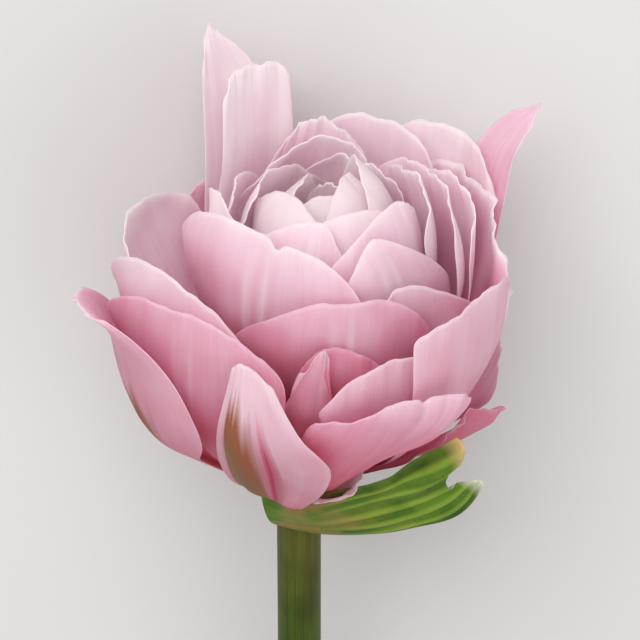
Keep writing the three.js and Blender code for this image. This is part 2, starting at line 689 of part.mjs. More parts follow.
const lowest = (points) => Math.min(...points.map((p) => p.clone().applyMatrix4(bloom.matrixWorld).z));
const underneath = grids.filter((_, k) => PETALS[k].lies).flat(2);
const cutEdge = -STEM_RADIUS * Math.cos(radians(LIE_TILT)) - STEM_LENGTH * Math.sin(radians(LIE_TILT));
const lowPoint = Math.max(lowest(underneath) - BLADE / 2, cutEdge);
flower.position.z = -lowPoint - FLOOR_PRESS;
flower.updateMatrixWorld(true);

const toWorld = bloom.matrixWorld.clone();
const toBloom = toWorld.clone().invert();
PETALS.forEach((petal, k) => {
  if (petal.lies) {
    grids[k].flat().forEach((point) => keepAbove(point, BLADE / 2, toWorld, toBloom));
  }
  const leafy = petal.free === true;
  const mesh = new THREE.Mesh(
    bladeSolid(grids[k], leafy ? BRACT_BLADE : BLADE),
    new THREE.MeshStandardMaterial({ color: leafy ? GREEN : PINK, roughness: ROUGHNESS, metalness: 0 }),
  );
  mesh.name = petal.name;
  bloom.add(mesh);
});

const stem = new THREE.Mesh(
  stemSolid(toWorld, toBloom),
  new THREE.MeshStandardMaterial({ color: GREEN, roughness: ROUGHNESS, metalness: 0 }),
);
stem.name = 'stem';
bloom.add(stem);

// Origin: the middle of the bounding box, on the ground.
const part = new THREE.Group();
part.add(flower);
part.updateMatrixWorld(true);
const box = new THREE.Box3().setFromObject(part, true);
const centre = box.getCenter(new THREE.Vector3());
flower.position.x -= centre.x;
flower.position.y -= centre.y;
flower.position.z -= box.min.z;
part.updateMatrixWorld(true);

export default part;
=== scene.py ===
from functools import cache

import bpy
import numpy as np
from bpy.props import FloatProperty, FloatVectorProperty, IntProperty, PointerProperty
from mathutils import Matrix, Vector


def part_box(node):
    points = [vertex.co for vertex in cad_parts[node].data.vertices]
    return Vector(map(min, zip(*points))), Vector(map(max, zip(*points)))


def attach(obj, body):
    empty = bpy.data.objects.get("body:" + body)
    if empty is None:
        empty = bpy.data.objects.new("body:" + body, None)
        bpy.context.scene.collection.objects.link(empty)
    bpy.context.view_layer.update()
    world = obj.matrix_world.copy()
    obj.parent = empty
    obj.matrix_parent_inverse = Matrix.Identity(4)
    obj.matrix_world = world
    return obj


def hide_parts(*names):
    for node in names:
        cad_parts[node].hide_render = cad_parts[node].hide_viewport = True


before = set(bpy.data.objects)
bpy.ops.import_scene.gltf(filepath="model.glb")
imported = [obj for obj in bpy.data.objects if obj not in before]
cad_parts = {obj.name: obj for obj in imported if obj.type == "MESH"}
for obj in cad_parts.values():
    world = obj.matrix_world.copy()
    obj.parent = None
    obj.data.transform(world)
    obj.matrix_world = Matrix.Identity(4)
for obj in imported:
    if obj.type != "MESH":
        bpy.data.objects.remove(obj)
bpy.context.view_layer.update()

bl_info = {
    "name": "Double tulip",
    "version": (1, 0, 0),
    "blender": (4, 5, 0),
    "location": "3D View > Sidebar > Tulip",
    "description": "Dresses the packed tulip: petals, bract, stem and a plain stage",
    "category": "Object",
}

# Millimetres and degrees, as in the part's source; meshes are written in metres.
MM = 0.001

# Stem and cone
STEM_LENGTH = 150.0
STEM_RADIUS = 4.1
NECK_DEPTH = 8.0
CAD_STEM_SIDES = 20
CONE_HEIGHT = 33.0
CONE_RADIUS = 5.3
CONE_TIP_RADIUS = 1.0

# Petals: the solids' blade, the space between them, and how a foot is held
CAD_BLADE = 0.62
SPACE = 1.0
SEAT_GAP = 0.3
FOOT_SHARES = (0.0, 0.6)
COLUMNS = 10
ROWS = 8
FINER = 5

# Settling, as in the part's source
HIP = 30.0
SHOULDER = 46.0
CELL_ROUND = 1.5
CELL_CAP = 2.0
CELLS_ROUND = int(360 / CELL_ROUND)
CELLS_CAP = int(90 / CELL_CAP)
CELLS_UP = 2 * CELLS_CAP + int(SHOULDER - HIP) + 2

# A point takes its cells this far in mm to each side, but no more cells than this; the
# turns of settling, the share of the space that the later ones ask for, and the least
# slant; what keeps a length of zero from being divided by
TAKE_REACH = 0.6
TAKE_CELLS = 20
CELL_LEAST = 0.03
SETTLE_TURNS = 3
LATER_SPACE = 0.95
LEAST_SLANT = 0.6
ON_AXIS = 1e-9

# Places across a section, 0 in the middle and 1 at the margin: the width in which the fold
# turns, and where the roll starts and how wide it is
KEEL_WIDTH = 0.12
ROLL_FROM = 0.72
ROLL_WIDTH = 0.28

# How the bloom leans on its stem, and how the flower lies
LEAN = 5.0
LIE_TILT = 9.5

# A petal's sizes are those of the part's source. azimuth: degrees round the bloom; foot:
# height of its foot on the cone; spine: its middle line as points (out, up); width, or left
# and right: half widths from foot to top; cup, fold and twist: degrees that half a section
# bends evenly and in the middle, and that the section turns; top: (drop, fullness,
# roundness) of the upper margin; notch: (place, width, depth); space: to the petals under
# it. pink: depth of colour on the back and on the face at foot, middle and top, from 0,
# white, to 1, deep pink. ribs: strength of the two veins beside the midrib; ruffle: height
# in mm and number of the margin's waves; roll: outward turn of the left and right margin;
# streak: (place, width, top, strength) of the green on the back; line: (place, width, top)
# of a magenta line; rim: strength of the pale margin; curl: outward lift of the upper
# margin in mm; ridges: number and height in mm of lengthwise ridges; fine_left: left half
# widths of the fine blade where it is broader than the solid, out over the petals next to
# it. First what the petals of the bud, those round it and the outer ones share unless their
# own row differs.
BUD = dict(cup=(60, 58, 55), top=(0.2, 2, 0.5), pink=((0.4, 0, 0), (0.6, 0.15, 0)), ruffle=(0.25, 2))
INNER = dict(cup=(45, 34, 25), top=(0.2, 2, 0.5), ruffle=(0.3, 2))
OUTER = dict(cup=(45, 34, 28), top=(0.2, 2.2, 0.5), ruffle=(0.35, 3))


def blade(like, name, azimuth, foot, *spine, **sizes):
    """A petal's sizes: those that it shares with its like, and its own over them."""
    own = {"name": "petal_" + name, "azimuth": azimuth, "foot": foot, "spine": spine}
    return {**like, **own, **sizes}


PETALS = (
    blade(BUD, "bud_1", 60, 33, (3.5, 36), (5, 45), (5.2, 54), (3.8, 61), (0.8, 65.5),
          width=(1.5, 3, 5, 6.5, 6, 3.5), cup=(70, 70, 62, 50, 40), ruffle=(0.25, 3)),
    blade(BUD, "bud_2", 272, 32.4, (3.8, 36), (5.8, 45), (6.4, 54), (5.4, 61), (2.4, 65.6),
          width=(1.5, 3, 5.5, 7.5, 8.5, 6), cup=(70, 70, 62, 50, 40)),
    blade(BUD, "bud_3", 330, 31.5, (4.2, 35), (6.6, 44), (7.2, 54), (5.6, 61), (2, 65.8),
          width=(1.5, 3.5, 6, 8.5, 8.5, 6), cup=(65, 65, 60, 50, 40), top=(0.22, 2, 0.5),
          ruffle=(0.25, 3)),
    blade(BUD, "bud_4", 12, 30.4, (4.6, 35), (7.7, 44), (8.6, 53), (7.3, 60.5), (3.2, 66),
          width=(1.5, 3.5, 7, 10, 10.5, 8), cup=(65, 65, 60, 52, 42), top=(0.25, 2, 0.5)),
    blade(BUD, "bud_5", 160, 29.9, (5, 34), (8.6, 43), (9.6, 53), (8.4, 60.5), (4.4, 65.6),
          width=(1.5, 3.5, 7.5, 10, 10.5, 8), cup=(64, 64, 60, 52, 42), top=(0.25, 2, 0.5),
          ruffle=(0.25, 3)),
    blade(BUD, "bud_6", 222, 29.1, (5.2, 33), (9.3, 42), (10.8, 52), (10, 59), (6.6, 63.4),
          width=(1.5, 3.5, 8, 11, 12, 10), cup=(62, 62, 60, 52, 45), top=(0.22, 2, 0.5), space=1.1),
    blade(BUD, "bud_front_middle", 290, 28.4, (5.6, 32), (9.8, 40.5), (11.3, 50.5), (10.6, 58),
          (8, 62.5), width=(1.5, 3.8, 8, 11.5, 12, 10), cup=(62, 60, 56, 50, 45),
          pink=((0.6, 0.15, 0.02), (0.7, 0.3, 0.05))),
    blade(BUD, "bud_front", 262, 27.2, (6, 31), (10.6, 39), (12.5, 49.5), (12.3, 57), (10, 62.2),
          left=(1.5, 4, 9, 12, 12, 10), right=(1.5, 4, 7, 7, 5, 3), cup=(60, 58, 55, 50, 45),
          top=(0.25, 2, 0.6), pink=((0.8, 0.32, 0.04), (0.8, 0.4, 0.1)), ribs=1.1),
    blade(BUD, "bud_back_left", 150, 26.7, (6, 31), (11.5, 39), (14, 50), (13.6, 58), (11, 64),
          width=(1.5, 4, 9, 14, 16, 13), pink=((0.6, 0.05, 0), (0.7, 0.22, 0)), ruffle=(0.3, 3)),
    blade(BUD, "bud_back_right", 50, 26.1, (6.4, 30.5), (11.4, 38.5), (13.4, 50), (12.8, 58),
          (10.2, 64), left=(1.5, 4, 7.5, 9, 9, 7), right=(1.5, 4, 9, 12, 13, 10),
          pink=((0.6, 0.05, 0), (0.7, 0.22, 0)), ruffle=(0.3, 3)),
    blade(BUD, "bud_front_right", 323, 25.5, (7, 30), (11.8, 38), (13.4, 50), (13, 58), (11, 64.3),
          left=(1.5, 4, 8, 12, 13, 11), right=(1.5, 4, 7, 8.5, 8, 5), cup=(60, 55, 55),
          top=(0.25, 2, 0.6), pink=((0.8, 0.3, 0.06), (0.8, 0.4, 0.12))),
    blade(BUD, "bud_back", 92, 24.8, (7.5, 28.5), (13, 36), (15.5, 50), (15.5, 59), (13.5, 65),
          left=(1.5, 4, 8, 11, 11, 8), right=(1.5, 4, 10, 15, 17, 13),
          pink=((0.6, 0.08, 0), (0.7, 0.3, 0.02)), ruffle=(0.3, 3)),
    blade(BUD, "bud_right", 13, 24.2, (7.2, 29), (12, 37), (13.8, 50), (13.2, 59), (11.5, 64.5),
          width=(1.5, 4, 7, 9, 9.5, 8), cup=(60, 55, 50), pink=((0.5, 0.15, 0.02), (0.7, 0.3, 0.05)),
          ruffle=(0.35, 3)),
    blade(BUD, "bud_cover", 304, 23, (8, 27, 1.5), (13.5, 34, 3), (15.3, 46, 2.5), (14.8, 55, 0),
          (13, 61, -2.5), left=(1.5, 4, 11, 15, 14, 8), right=(1.5, 4, 8.5, 10.5, 10, 6),
          cup=(58, 55, 50), top=(0.3, 1.6, 0.7), notch=((1, 0.5, 0.14),),
          pink=((0.85, 0.36, 0.06), (0.85, 0.45, 0.12)), ribs=1.1),
    blade(BUD, "bud_left", 168, 22.3, (8, 26.5), (14, 34), (17, 48), (17, 56), (16, 62),
          width=(1.5, 4, 9, 12, 13, 10), cup=(58, 50, 45), pink=((0.6, 0.15, 0.02), (0.7, 0.3, 0.04)),
          ruffle=(0.35, 2)),
    blade(INNER, "inner_lobe", 205, 21.2, (9, 25.5), (15, 33), (18, 47), (19.5, 58), (21, 68),
          width=(1.5, 4, 6, 7, 7, 6), cup=(55, 35, 25), top=(0.15, 2, 0.5),
          pink=((0.1, 0, 0), (0.2, 0, 0))),
    blade(INNER, "inner_right", 22, 20.5, (9, 25), (14.5, 33), (17, 47), (17.5, 58), (16.5, 65),
          width=(1.5, 4, 9, 12, 13, 10), cup=(58, 50, 48), pink=((0.5, 0.2, 0.04), (0.7, 0.35, 0.08)),
          ruffle=(0.35, 3)),
    blade(INNER, "inner_back", 95, 19.8, (9.5, 24), (16.3, 33), (19.5, 47), (20, 58), (20, 67),
          width=(1.5, 4, 8, 10, 9, 6), cup=(55, 40, 35), pink=((0.6, 0.25, 0.06), (0.7, 0.35, 0.08)),
          ruffle=(0.5, 3)),
    blade(INNER, "inner_front_left", 238, 19, (10.5, 23), (17.5, 31), (20.5, 44), (21, 55), (19.8, 65),
          left=(1.8, 5, 10, 15, 18, 15), right=(1.8, 5, 11, 16, 18, 15), cup=(55, 48, 43),
          top=(0.19, 3, 0.5), notch=((0.15, 0.06, 0.03),), pink=((0.95, 0.5, 0.08), (0.85, 0.45, 0.15)),
          ribs=1.2, ruffle=(0.25, 3)),
    blade(INNER, "inner_right_edge", 18, 18, (10.5, 22.5), (17, 31), (20, 45), (20.5, 56), (20, 64),
          width=(1.8, 5, 9, 12, 12, 10), cup=(50, 42, 40), pink=((0.5, 0.2, 0.05), (0.7, 0.3, 0.06)),
          ruffle=(0.35, 3)),
    blade(INNER, "inner_front_right", 310, 17.8, (11.3, 21), (19, 30), (22, 42), (22, 50, -1),
          (20.5, 57.5, -2), left=(1.8, 5, 9, 10, 8, 5), right=(1.8, 5, 11, 15, 16, 14),
          cup=(50, 45, 40), top=(0.25, 2, 0.5), notch=((1, 0.6, 0.15),),
          pink=((0.6, 0.35, 0.12), (0.6, 0.35, 0.15)), ruffle=(0.25, 2)),
    blade(INNER, "inner_front", 278, 16.5, (11.5, 20.5), (19.5, 29), (23, 41), (23, 50), (21.5, 57),
          left=(2, 6, 13, 18, 20, 18), right=(2, 6, 12, 15, 15.5, 14), cup=(55, 50, 48),
          top=(0.22, 3, 0.5), notch=((-1, 0.55, 0.1),), pink=((0.95, 0.64, 0.24), (0.85, 0.6, 0.3)),
          ribs=1.2, ruffle=(0.3, 3)),
    blade(INNER, "back_left", 129, 16.8, (12.5, 19.5), (20.5, 29), (22, 46), (22, 62), (24, 78),
          width=(2, 5, 8, 9, 8.5, 7.5), cup=(48, 38, 30), top=(0.07, 3, 0.5),
          pink=((0.4, 0.15, 0.02), (0.5, 0.12, 0)), ruffle=(0.35, 3), roll=(25, 25), rim=0.6),
    blade(INNER, "back_left_spike", 121, 15.3, (15, 20), (24, 29), (27.5, 42, 1), (29, 55, 2),
          (31.5, 67, 3.5), (35, 81, 6), left=(2, 6, 9, 10, 9.5, 7.5, 2), right=(2, 6, 8, 8, 7, 5, 1),
          top=(0.1, 1.5, 0.7), pink=((0.4, 0.15, 0.02), (0.4, 0.12, 0.02)), ruffle=(0.25, 2)),
    blade(OUTER, "left_cup", 165, 14.4, (13, 18.5), (22.5, 27), (30, 36), (34.5, 44), (35.5, 51.5),
          left=(2, 6, 13, 18, 19, 15), right=(2, 6, 13, 19, 21, 18), cup=(50, 45, 42),
          top=(0.16, 2, 0.5), pink=((0.6, 0.25, 0.06), (0.75, 0.34, 0.03)), ruffle=(0.4, 2),
          roll=(30, 30), rim=0.4),
    blade(INNER, "front_middle", 273, 14, (13.5, 17.5), (21.5, 26), (25, 36), (25.5, 43), (24.5, 50),
          left=(2, 4, 5, 6, 5.5, 4), right=(2, 5, 9, 12, 12, 10), cup=(48, 42, 38), top=(0.22, 2, 0.5),
          pink=((0.95, 0.75, 0.45), (0.85, 0.6, 0.3)), ruffle=(0.3, 3)),
    blade(INNER, "back", 70, 13, (14.5, 17), (22.5, 27), (26, 42), (27, 54), (27, 65),
          width=(2, 6, 12, 14, 14, 11), cup=(48, 38, 32), top=(0.12, 2.5, 0.5),
          pink=((0.6, 0.2, 0.08), (0.6, 0.2, 0.08))),
    blade(INNER, "front_sliver", 271, 12, (14.5, 16.5), (23.5, 25), (27, 35), (27, 43), (26.5, 50.5),
          left=(2, 4, 7, 7.5, 5, 1.5), right=(2, 4, 5, 4, 2, 0.8), cup=(50, 30, 20), top=(0.1, 2, 0.5),
          pink=((0.98, 0.6, 0.2), (0.95, 0.85, 0.6)), ruffle=(0.25, 2), roll=(60, 14)),
    blade(OUTER, "right_wrap", 28, 11, (15.5, 15.5), (25, 25), (29, 37), (30.5, 49), (29.5, 60),
          width=(2.5, 6, 13, 19, 22, 18), cup=(48, 44, 42), top=(0.18, 2.5, 0.5),
          pink=((0.6, 0.2, 0), (0.85, 0.6, 0.2)), ruffle=(0.8, 3), roll=(110, 60), curl=1.2, rim=1),
    blade(OUTER, "left_front_inner", 210, 10, (16, 14.5), (26, 25), (31, 37), (33, 47), (33, 57),
          left=(2.5, 6, 12, 17, 19, 16), right=(2.5, 6, 12, 18, 21, 19), cup=(48, 38, 33),
          twist=(0, -5, -18), top=(0.3, 2, 0.5), pink=((0.9, 0.42, 0.06), (0.85, 0.5, 0.15)),
          ruffle=(0.3, 2)),
    blade(INNER, "back_right", 46, 9, (16.5, 13.5), (26, 24), (29, 38), (30, 53), (31, 65),
          width=(2.5, 6, 11, 13, 13, 10), cup=(45, 32, 28), top=(0.12, 2.5, 0.5),
          pink=((0.6, 0.2, 0.02), (0.7, 0.25, 0.02)), ruffle=(0.4, 2), roll=(40, 30)),
    blade(OUTER, "front_right_inner", 296, 8, (15, 15.5), (23, 23.5), (28.5, 33), (31, 41), (30, 49),
          left=(2.5, 4, 6.5, 10, 13, 12), right=(2.5, 6, 13, 17, 18, 16), cup=(48, 42, 38),
          pink=((0.98, 0.55, 0.14), (0.9, 0.6, 0.3))),
    blade(OUTER, "right_front", 337, 6.5, (15.5, 14.5), (24, 23.5), (30.5, 33.5), (33.5, 45),
          (32.5, 58), left=(2.5, 6, 13, 20, 23, 22), right=(2.5, 6, 12, 17, 18, 16), cup=(48, 42, 40),
          top=(0.06, 2.5, 0.5), notch=((1, 0.7, 0.14),), pink=((0.95, 0.4, 0.1), (0.9, 0.6, 0.35)),
          streak=(0.62, 0.18, 0.75, 1)),
    blade(OUTER, "left_front", 226, 6, (17, 11.5), (27, 22), (32, 33), (34, 44), (34, 53.5),
          left=(2.5, 6, 12, 18, 21, 18), right=(2.5, 6, 12, 17, 19, 16), cup=(48, 38, 32),
          twist=(0, -4, -14), pink=((1, 0.6, 0.24), (0.9, 0.6, 0.35)), ribs=0.6,
          streak=(0.05, 0.2, 0.42, 0.75)),
    blade(INNER, "back_right_spike", 31, 5.9, (18, 10.5), (27, 21), (30.5, 36), (32, 50), (35, 64),
          (42, 74, -2), left=(2.5, 6, 9, 9, 8, 6, 2), right=(2.5, 6, 11, 13, 10.5, 5, 1.5),
          top=(0.1, 1.5, 0.7), pink=((0.7, 0.4, 0.2), (0.7, 0.4, 0.2))),
    blade(OUTER, "low_right_back", 14, 4.8, (15, 10.5), (26, 16.5), (33, 23), (35, 30.5),
          width=(2, 6, 10, 11, 9), cup=(45, 36, 28), top=(0.2, 1.8, 0.5),
          pink=((0.7, 0.35, 0.08), (0.8, 0.5, 0.2)), ruffle=(0.35, 2), roll=(14, 40)),
    blade(OUTER, "low_right", 336, 4.1, (14, 12), (22.5, 18), (28, 23.5), (30.5, 28.5),
          left=(2.5, 4, 5, 6, 7), right=(2.5, 5, 8.5, 10, 8), cup=(45, 36, 30), top=(0.2, 1.5, 0.5),
          pink=((0.98, 0.8, 0.55), (0.9, 0.6, 0.35))),
    blade(OUTER, "low_front_right", 277, 3.6, (14, 14), (21.8, 24, 2.8), (27.5, 32, 6), (30.8, 38, 8),
          (32.2, 42, 9), (32.2, 45, 9), left=(2.5, 3, 4.4, 7.6, 11, 11.5, 11),
          right=(2, 1.6, 1, 1.2, 4, 9.5, 14), cup=(45, 42, 38), top=(0.05, 2, 0.5),
          notch=((-1.1, 0.6, 0.16), (0.3, 0.06, 0.025)), pink=((1, 0.66, 0.22), (0.9, 0.6, 0.3)),
          ruffle=(0.4, 3)),
    blade(OUTER, "under_left", 119, 3, (19.5, 7.5), (30, 18.5), (34.6, 30.5), (35, 42), (33.4, 51),
          width=(3, 7, 13, 16, 15, 9), top=(0.15, 1.5, 0.7), pink=((0.8, 0.4, 0.25), (0.7, 0.4, 0.3)),
          ruffle=(0.4, 2), streak=(0, 0.12, 0.4, 0.5)),
    blade(OUTER, "under_right", 57, 2.2, (19, 8), (30, 18), (34, 30), (34.5, 41), (33, 50),
          width=(3, 7, 13, 16, 15, 9), top=(0.15, 1.5, 0.7), pink=((0.8, 0.4, 0.25), (0.7, 0.4, 0.3)),
          ruffle=(0.4, 2), streak=(0, 0.12, 0.4, 0.5)),
    blade(OUTER, "low_curl", 285, 2.4, (11.5, 9.5), (15.3, 14, 2), (18, 17.5, 4.5),
          width=(2.5, 4, 4.5, 3.5), cup=(45, 30, 20), top=(0.25, 2, 0.5),
          pink=((0.8, 0.4, 0.1), (0.8, 0.4, 0.1)), ruffle=(0.3, 2)),
    blade(OUTER, "left_spike", 201, 1, (18, 8.5), (30, 18.5), (35, 28), (37.5, 38), (41, 44), (46, 49),
          left=(3, 6, 11, 14, 13, 9, 4), right=(3, 4.5, 9, 18, 22, 15, 4), cup=(50, 42, 34),
          top=(0.06, 1.5, 0.7), pink=((0.85, 0.42, 0.2), (0.9, 0.6, 0.2)), ruffle=(0.3, 2),
          streak=(0.1, 0.3, 0.8, 1)),
    blade(OUTER, "front_keel", 247, 0, (15, 8), (24, 14.5), (32, 24.5), (36, 35), (34.5, 49),
          left=(3, 4.5, 5.5, 5, 3.8, 2), right=(3, 6, 12.5, 16, 12, 2.5), cup=(48, 28, 20),
          fold=(0, 14, 20), top=(0.06, 2, 0.5), pink=((0.6, 0.34, 0.06), (0.8, 0.5, 0.25)),
          ruffle=(0.2, 2), streak=(-0.15, 0.46, 1.05, 0.95), line=(0.38, 0.1, 0.95)),
    dict(name="green_bract", azimuth=0,
         spine=((-5.6, -1.2, -9), (2.6, 0.8, -12.4), (10.8, 4.4, -15), (18, 9, -16.2), (24.2, 14.4, -16.8),
                (29.4, 19.6, -17)),
         left=(3.8, 6.4, 9.5, 12.5, 15, 14), right=(4.2, 5.4, 6.4, 7.6, 9, 4.5), cup=(34, 30, 25),
         twist=(74, 78, 82, 86, 90, 92), top=(0.03, 2, 0.5), notch=((-0.1, 0.5, 0.14),), space=1.2,
         pink=((0, 0, 0), (0, 0.1, 0.9)), ruffle=(0.3, 3), ridges=(5.4, 0.24),
         fine_left=(9, 12.5, 14, 14, 15.5, 14)),
)
NUMBERS = {petal["name"]: number for number, petal in enumerate(PETALS)}

# Fine blades: grid, thickness in mm at the middle and at the margin, margin details
FINE_COLUMNS = 72
FINE_ROWS = 60
SECTION_STEPS = 24
LINE_STEPS = 120
CURVE_STEPS = 160
BLADE_MIDDLE = 0.36
BLADE_MARGIN = 0.16
BLADE_FADE = 4.0
NICK_DEPTH = 0.012
NICK_WAVES = (9, 17, 29, 43, 61)
DENT = 0.14
RIB_PLACES = (-0.075, 0.075)
RIB_WIDTH = 0.035
RIB_HEIGHT = 0.14

# Fine stem: sides and rings, of the neck and the cone too, and the rings of the cut end as
# (depth in mm, share of the radius), CUT_EDGE inside the solid's end
STEM_SIDES = 64
STEM_RINGS = 120
NECK_RINGS = 12
CONE_RINGS = 24
CUT_EDGE = 0.12
CUT_DIP = ((0.5, 0.2), (0.45, 0.5), (0.25, 0.8), (0.0, 0.96))

# Looks: share of the glow in the light through a petal, darker parts of the floor
GLOW_SHARE = 0.22
FLOOR_SHADE = 0.985

# Stage: half the floor in metres; the point looked at, in mm to the right, up and towards
# the camera; the middle of the bloom, in metres; lights as direction, distance and side in
# metres, and colour; the sky's colour
FLOOR_HALF = 4.0
TARGET = (3.96, 30.24, 18.93)
SENSOR = 36
BLOOM = (0, 0.08, 0.03)
KEY_LIGHT = ((-0.3, 0.95, 0.85), 1.1, 0.9, (1.0, 0.99, 0.97))
FILL_LIGHT = ((0.6, -0.3, 0.8), 1.3, 1.2, (0.95, 0.97, 1.0))
SKY_TINT = (1.0, 0.97, 0.97)


def keys(values, at):
    """Smooth run through equally spaced values, at places from 0 to 1. Between two values
    it is the cubic whose slope at each is half the step from the value before to the one
    after, and past an end the run goes on straight."""
    values = np.asarray(values, float)
    at = np.asarray(at, float)
    if values.ndim == 0:
        return np.full(at.shape, float(values))
    last = len(values) - 1
    place = np.clip(at, 0, 1) * last
    i = np.minimum(np.floor(place).astype(int), last - 1)
    wide = at.shape + (1,) * (values.ndim - 1)
    f = (place - i).reshape(wide)
    here, after = values[i], values[i + 1]
    before = np.where((i > 0).reshape(wide), values[np.maximum(i - 1, 0)], 2 * here - after)
    later = np.where((i < last - 1).reshape(wide), values[np.minimum(i + 2, last)], 2 * after - here)
    square = 2 * before - 5 * here + 4 * after - later
    cube = 3 * here - before - 3 * after + later
    return 0.5 * (2 * here + (after - before) * f + square * f ** 2 + cube * f ** 3)


def ramp(value, low, high):
    """0 below low, 1 above high, and a smooth step, 3x^2 - 2x^3, between them."""
    x = np.clip((value - low) / (high - low), 0, 1)
    return x * x * (3 - 2 * x)


def cone_radius(height):
    """Radius of the cone that the petals sit on, straight from its foot to its tip."""
    return CONE_TIP_RADIUS + (CONE_RADIUS - CONE_TIP_RADIUS) * (1 - height / CONE_HEIGHT)


def halves(petal, side):
    """Half widths of a petal, from foot to top, on its left or right side."""
    return petal.get(side, petal.get("width"))


def spine_of(petal):
    """Points (out, up, sideways) of a petal's middle line. Its foot lies as far out as lets
    the margins of a section bent like an arc clear the cone."""
    spine = [tuple(point) + (0,) * (3 - len(point)) for point in petal["spine"]]
    if "foot" not in petal:
        return spine
    width = max(halves(petal, "left")[0], halves(petal, "right")[0])
    bend = np.radians(petal["cup"][0])
    seat = cone_radius(petal["foot"]) + SEAT_GAP + CAD_BLADE / 2
    aside = width * np.sin(bend) / bend
    out = width * (1 - np.cos(bend)) / bend + np.sqrt(seat ** 2 - aside ** 2)
    return [(out, petal["foot"], 0)] + spine


def middle_line(petal):
    """Points, directions across and directions out of the back along a petal's middle line,
    evenly spaced by length, and its length. Across is the level direction round the bloom
    made square to the line, and both directions turn about the line by the petal's twist."""
    azimuth = np.radians(petal["azimuth"])
    out = np.array([np.cos(azimuth), np.sin(azimuth), 0])
    aside = np.array([-np.sin(azimuth), np.cos(azimuth), 0])
    curve = keys(spine_of(petal), np.linspace(0, 1, CURVE_STEPS))
    reach = np.concatenate([[0], np.cumsum(np.linalg.norm(np.diff(curve, axis=0), axis=1))])
    at = np.linspace(0, 1, LINE_STEPS + 1)
    plane = np.stack([np.interp(at * reach[-1], reach, curve[:, k]) for k in range(3)], -1)
    points = plane[:, :1] * out + plane[:, 2:] * aside + plane[:, 1:2] * np.array([0, 0, 1])
    along = np.gradient(points, axis=0)
    along /= np.linalg.norm(along, axis=1)[:, None]
    side = aside - (along @ aside)[:, None] * along
    side /= np.linalg.norm(side, axis=1)[:, None]
    back = np.cross(side, along)
    turn = np.radians(keys(petal.get("twist", 0), at))[:, None]
    across = side * np.cos(turn) + back * np.sin(turn)
    back = back * np.cos(turn) - side * np.sin(turn)
    return points, across, back, reach[-1]


def margin_height(petal, place):
    """Height of the upper margin, 0 to 1, at places across the blade, -1 to 1: a dome that
    drops towards the sides, less a bell curve for each notch."""
    drop, fullness, roundness = petal["top"]
    height = 1 - drop + drop * np.clip(1 - np.abs(place) ** fullness, 0, 1) ** roundness
    for at, width, depth in petal.get("notch", ()):
        height = height - depth * np.exp(-((place - at) / width) ** 2)
    return height


def middle_surface(petal, place, height, roll=(0, 0)):
    """Middle surface of a petal at places across, -1 to 1, and heights, 0 to 1, on a grid.
    A section is walked out from the middle line while it turns by the cup, in proportion to
    the place, by the fold, all near the middle, and back by the roll, all near the margin."""
    line, across, back, length = middle_line(petal)
    at = np.linspace(0, 1, LINE_STEPS + 1)
    base, side, out = (
        np.stack([np.interp(height, at, values[:, k]) for k in range(3)], -1)
        for values in (line, across, back)
    )
    left = keys(halves(petal, "left"), height)
    right = keys(halves(petal, "right"), height)
    width = np.where(place < 0, left, right)
    cup = np.radians(keys(petal["cup"], height))
    fold = np.radians(keys(petal.get("fold", 0), height))
    rolled = np.radians(np.where(place < 0, roll[0], roll[1]))
    walk = np.linspace(0, 1, SECTION_STEPS + 1)[:, None, None] * place
    size = np.abs(walk)
    turn = cup * size + fold * np.tanh(size / KEEL_WIDTH)
    turn = np.sign(walk) * (turn - rolled * np.clip((size - ROLL_FROM) / ROLL_WIDTH, 0, 1) ** 1.5)
    step = place * width / SECTION_STEPS
    aside = (np.cos(turn[:-1]) + np.cos(turn[1:])).sum(0) / 2 * step
    inward = (np.sin(turn[:-1]) + np.sin(turn[1:])).sum(0) / 2 * step
    return base + side * aside[..., None] - out * inward[..., None], width, length


def back_of(grid):
    """Direction out of the back at each point of a grid: the step across times the step up."""
    normal = np.cross(np.gradient(grid, axis=1), np.gradient(grid, axis=0))
    return normal / (np.linalg.norm(normal, axis=-1)[..., None] + ON_AXIS)


def place_round(points):
    """Where points lie round the bloom: the direction away from the axis point that they are
    moved from, their reach from it, and their cell numbers round and up. Between hip and
    shoulder that axis point is level with the point, and past them it is the hip or shoulder."""
    level = np.hypot(points[..., 0], points[..., 1]) + ON_AXIS
    height = points[..., 2]
    rise = np.maximum(height - SHOULDER, 0) + np.minimum(height - HIP, 0)
    reach = np.hypot(level, rise)
    away = np.stack([points[..., 0], points[..., 1], rise], -1) / reach[..., None]
    azimuth = np.degrees(np.arctan2(points[..., 1], points[..., 0])) % 360
    slope = np.degrees(np.arctan2(rise, level)) / CELL_CAP
    up = CELLS_CAP + np.clip(height - HIP, 0, SHOULDER - HIP) + slope
    return away, reach, azimuth / CELL_ROUND, np.clip(up, 0, CELLS_UP - 2), level


def taken_at(taken, around, up):
    """The farthest reach that is taken in the four cells about a place."""
    i = np.floor(around).astype(int)
    j = np.floor(up).astype(int)
    near = [taken[(i + di) % CELLS_ROUND, j + dj] for di in (0, 1) for dj in (0, 1)]
    return np.max(near, axis=0)


def take(taken, points):
    """Marks the cells about each point as taken up to its reach, over at least
    TAKE_REACH to each side."""
    _, reach, around, up, level = place_round(points)
    i = np.rint(around).astype(int)
    j = np.rint(up).astype(int)
    cell = np.maximum(np.radians(CELL_ROUND) * level, CELL_LEAST)
    wide = np.clip(np.ceil(TAKE_REACH / cell), 1, TAKE_CELLS)
    for di in range(-TAKE_CELLS, TAKE_CELLS + 1):
        near = wide >= abs(di)
        for dj in (-1, 0, 1):
            cells = (i[near] + di) % CELLS_ROUND, np.clip(j[near] + dj, 0, CELLS_UP - 1)
            np.maximum.at(taken, cells, reach[near])


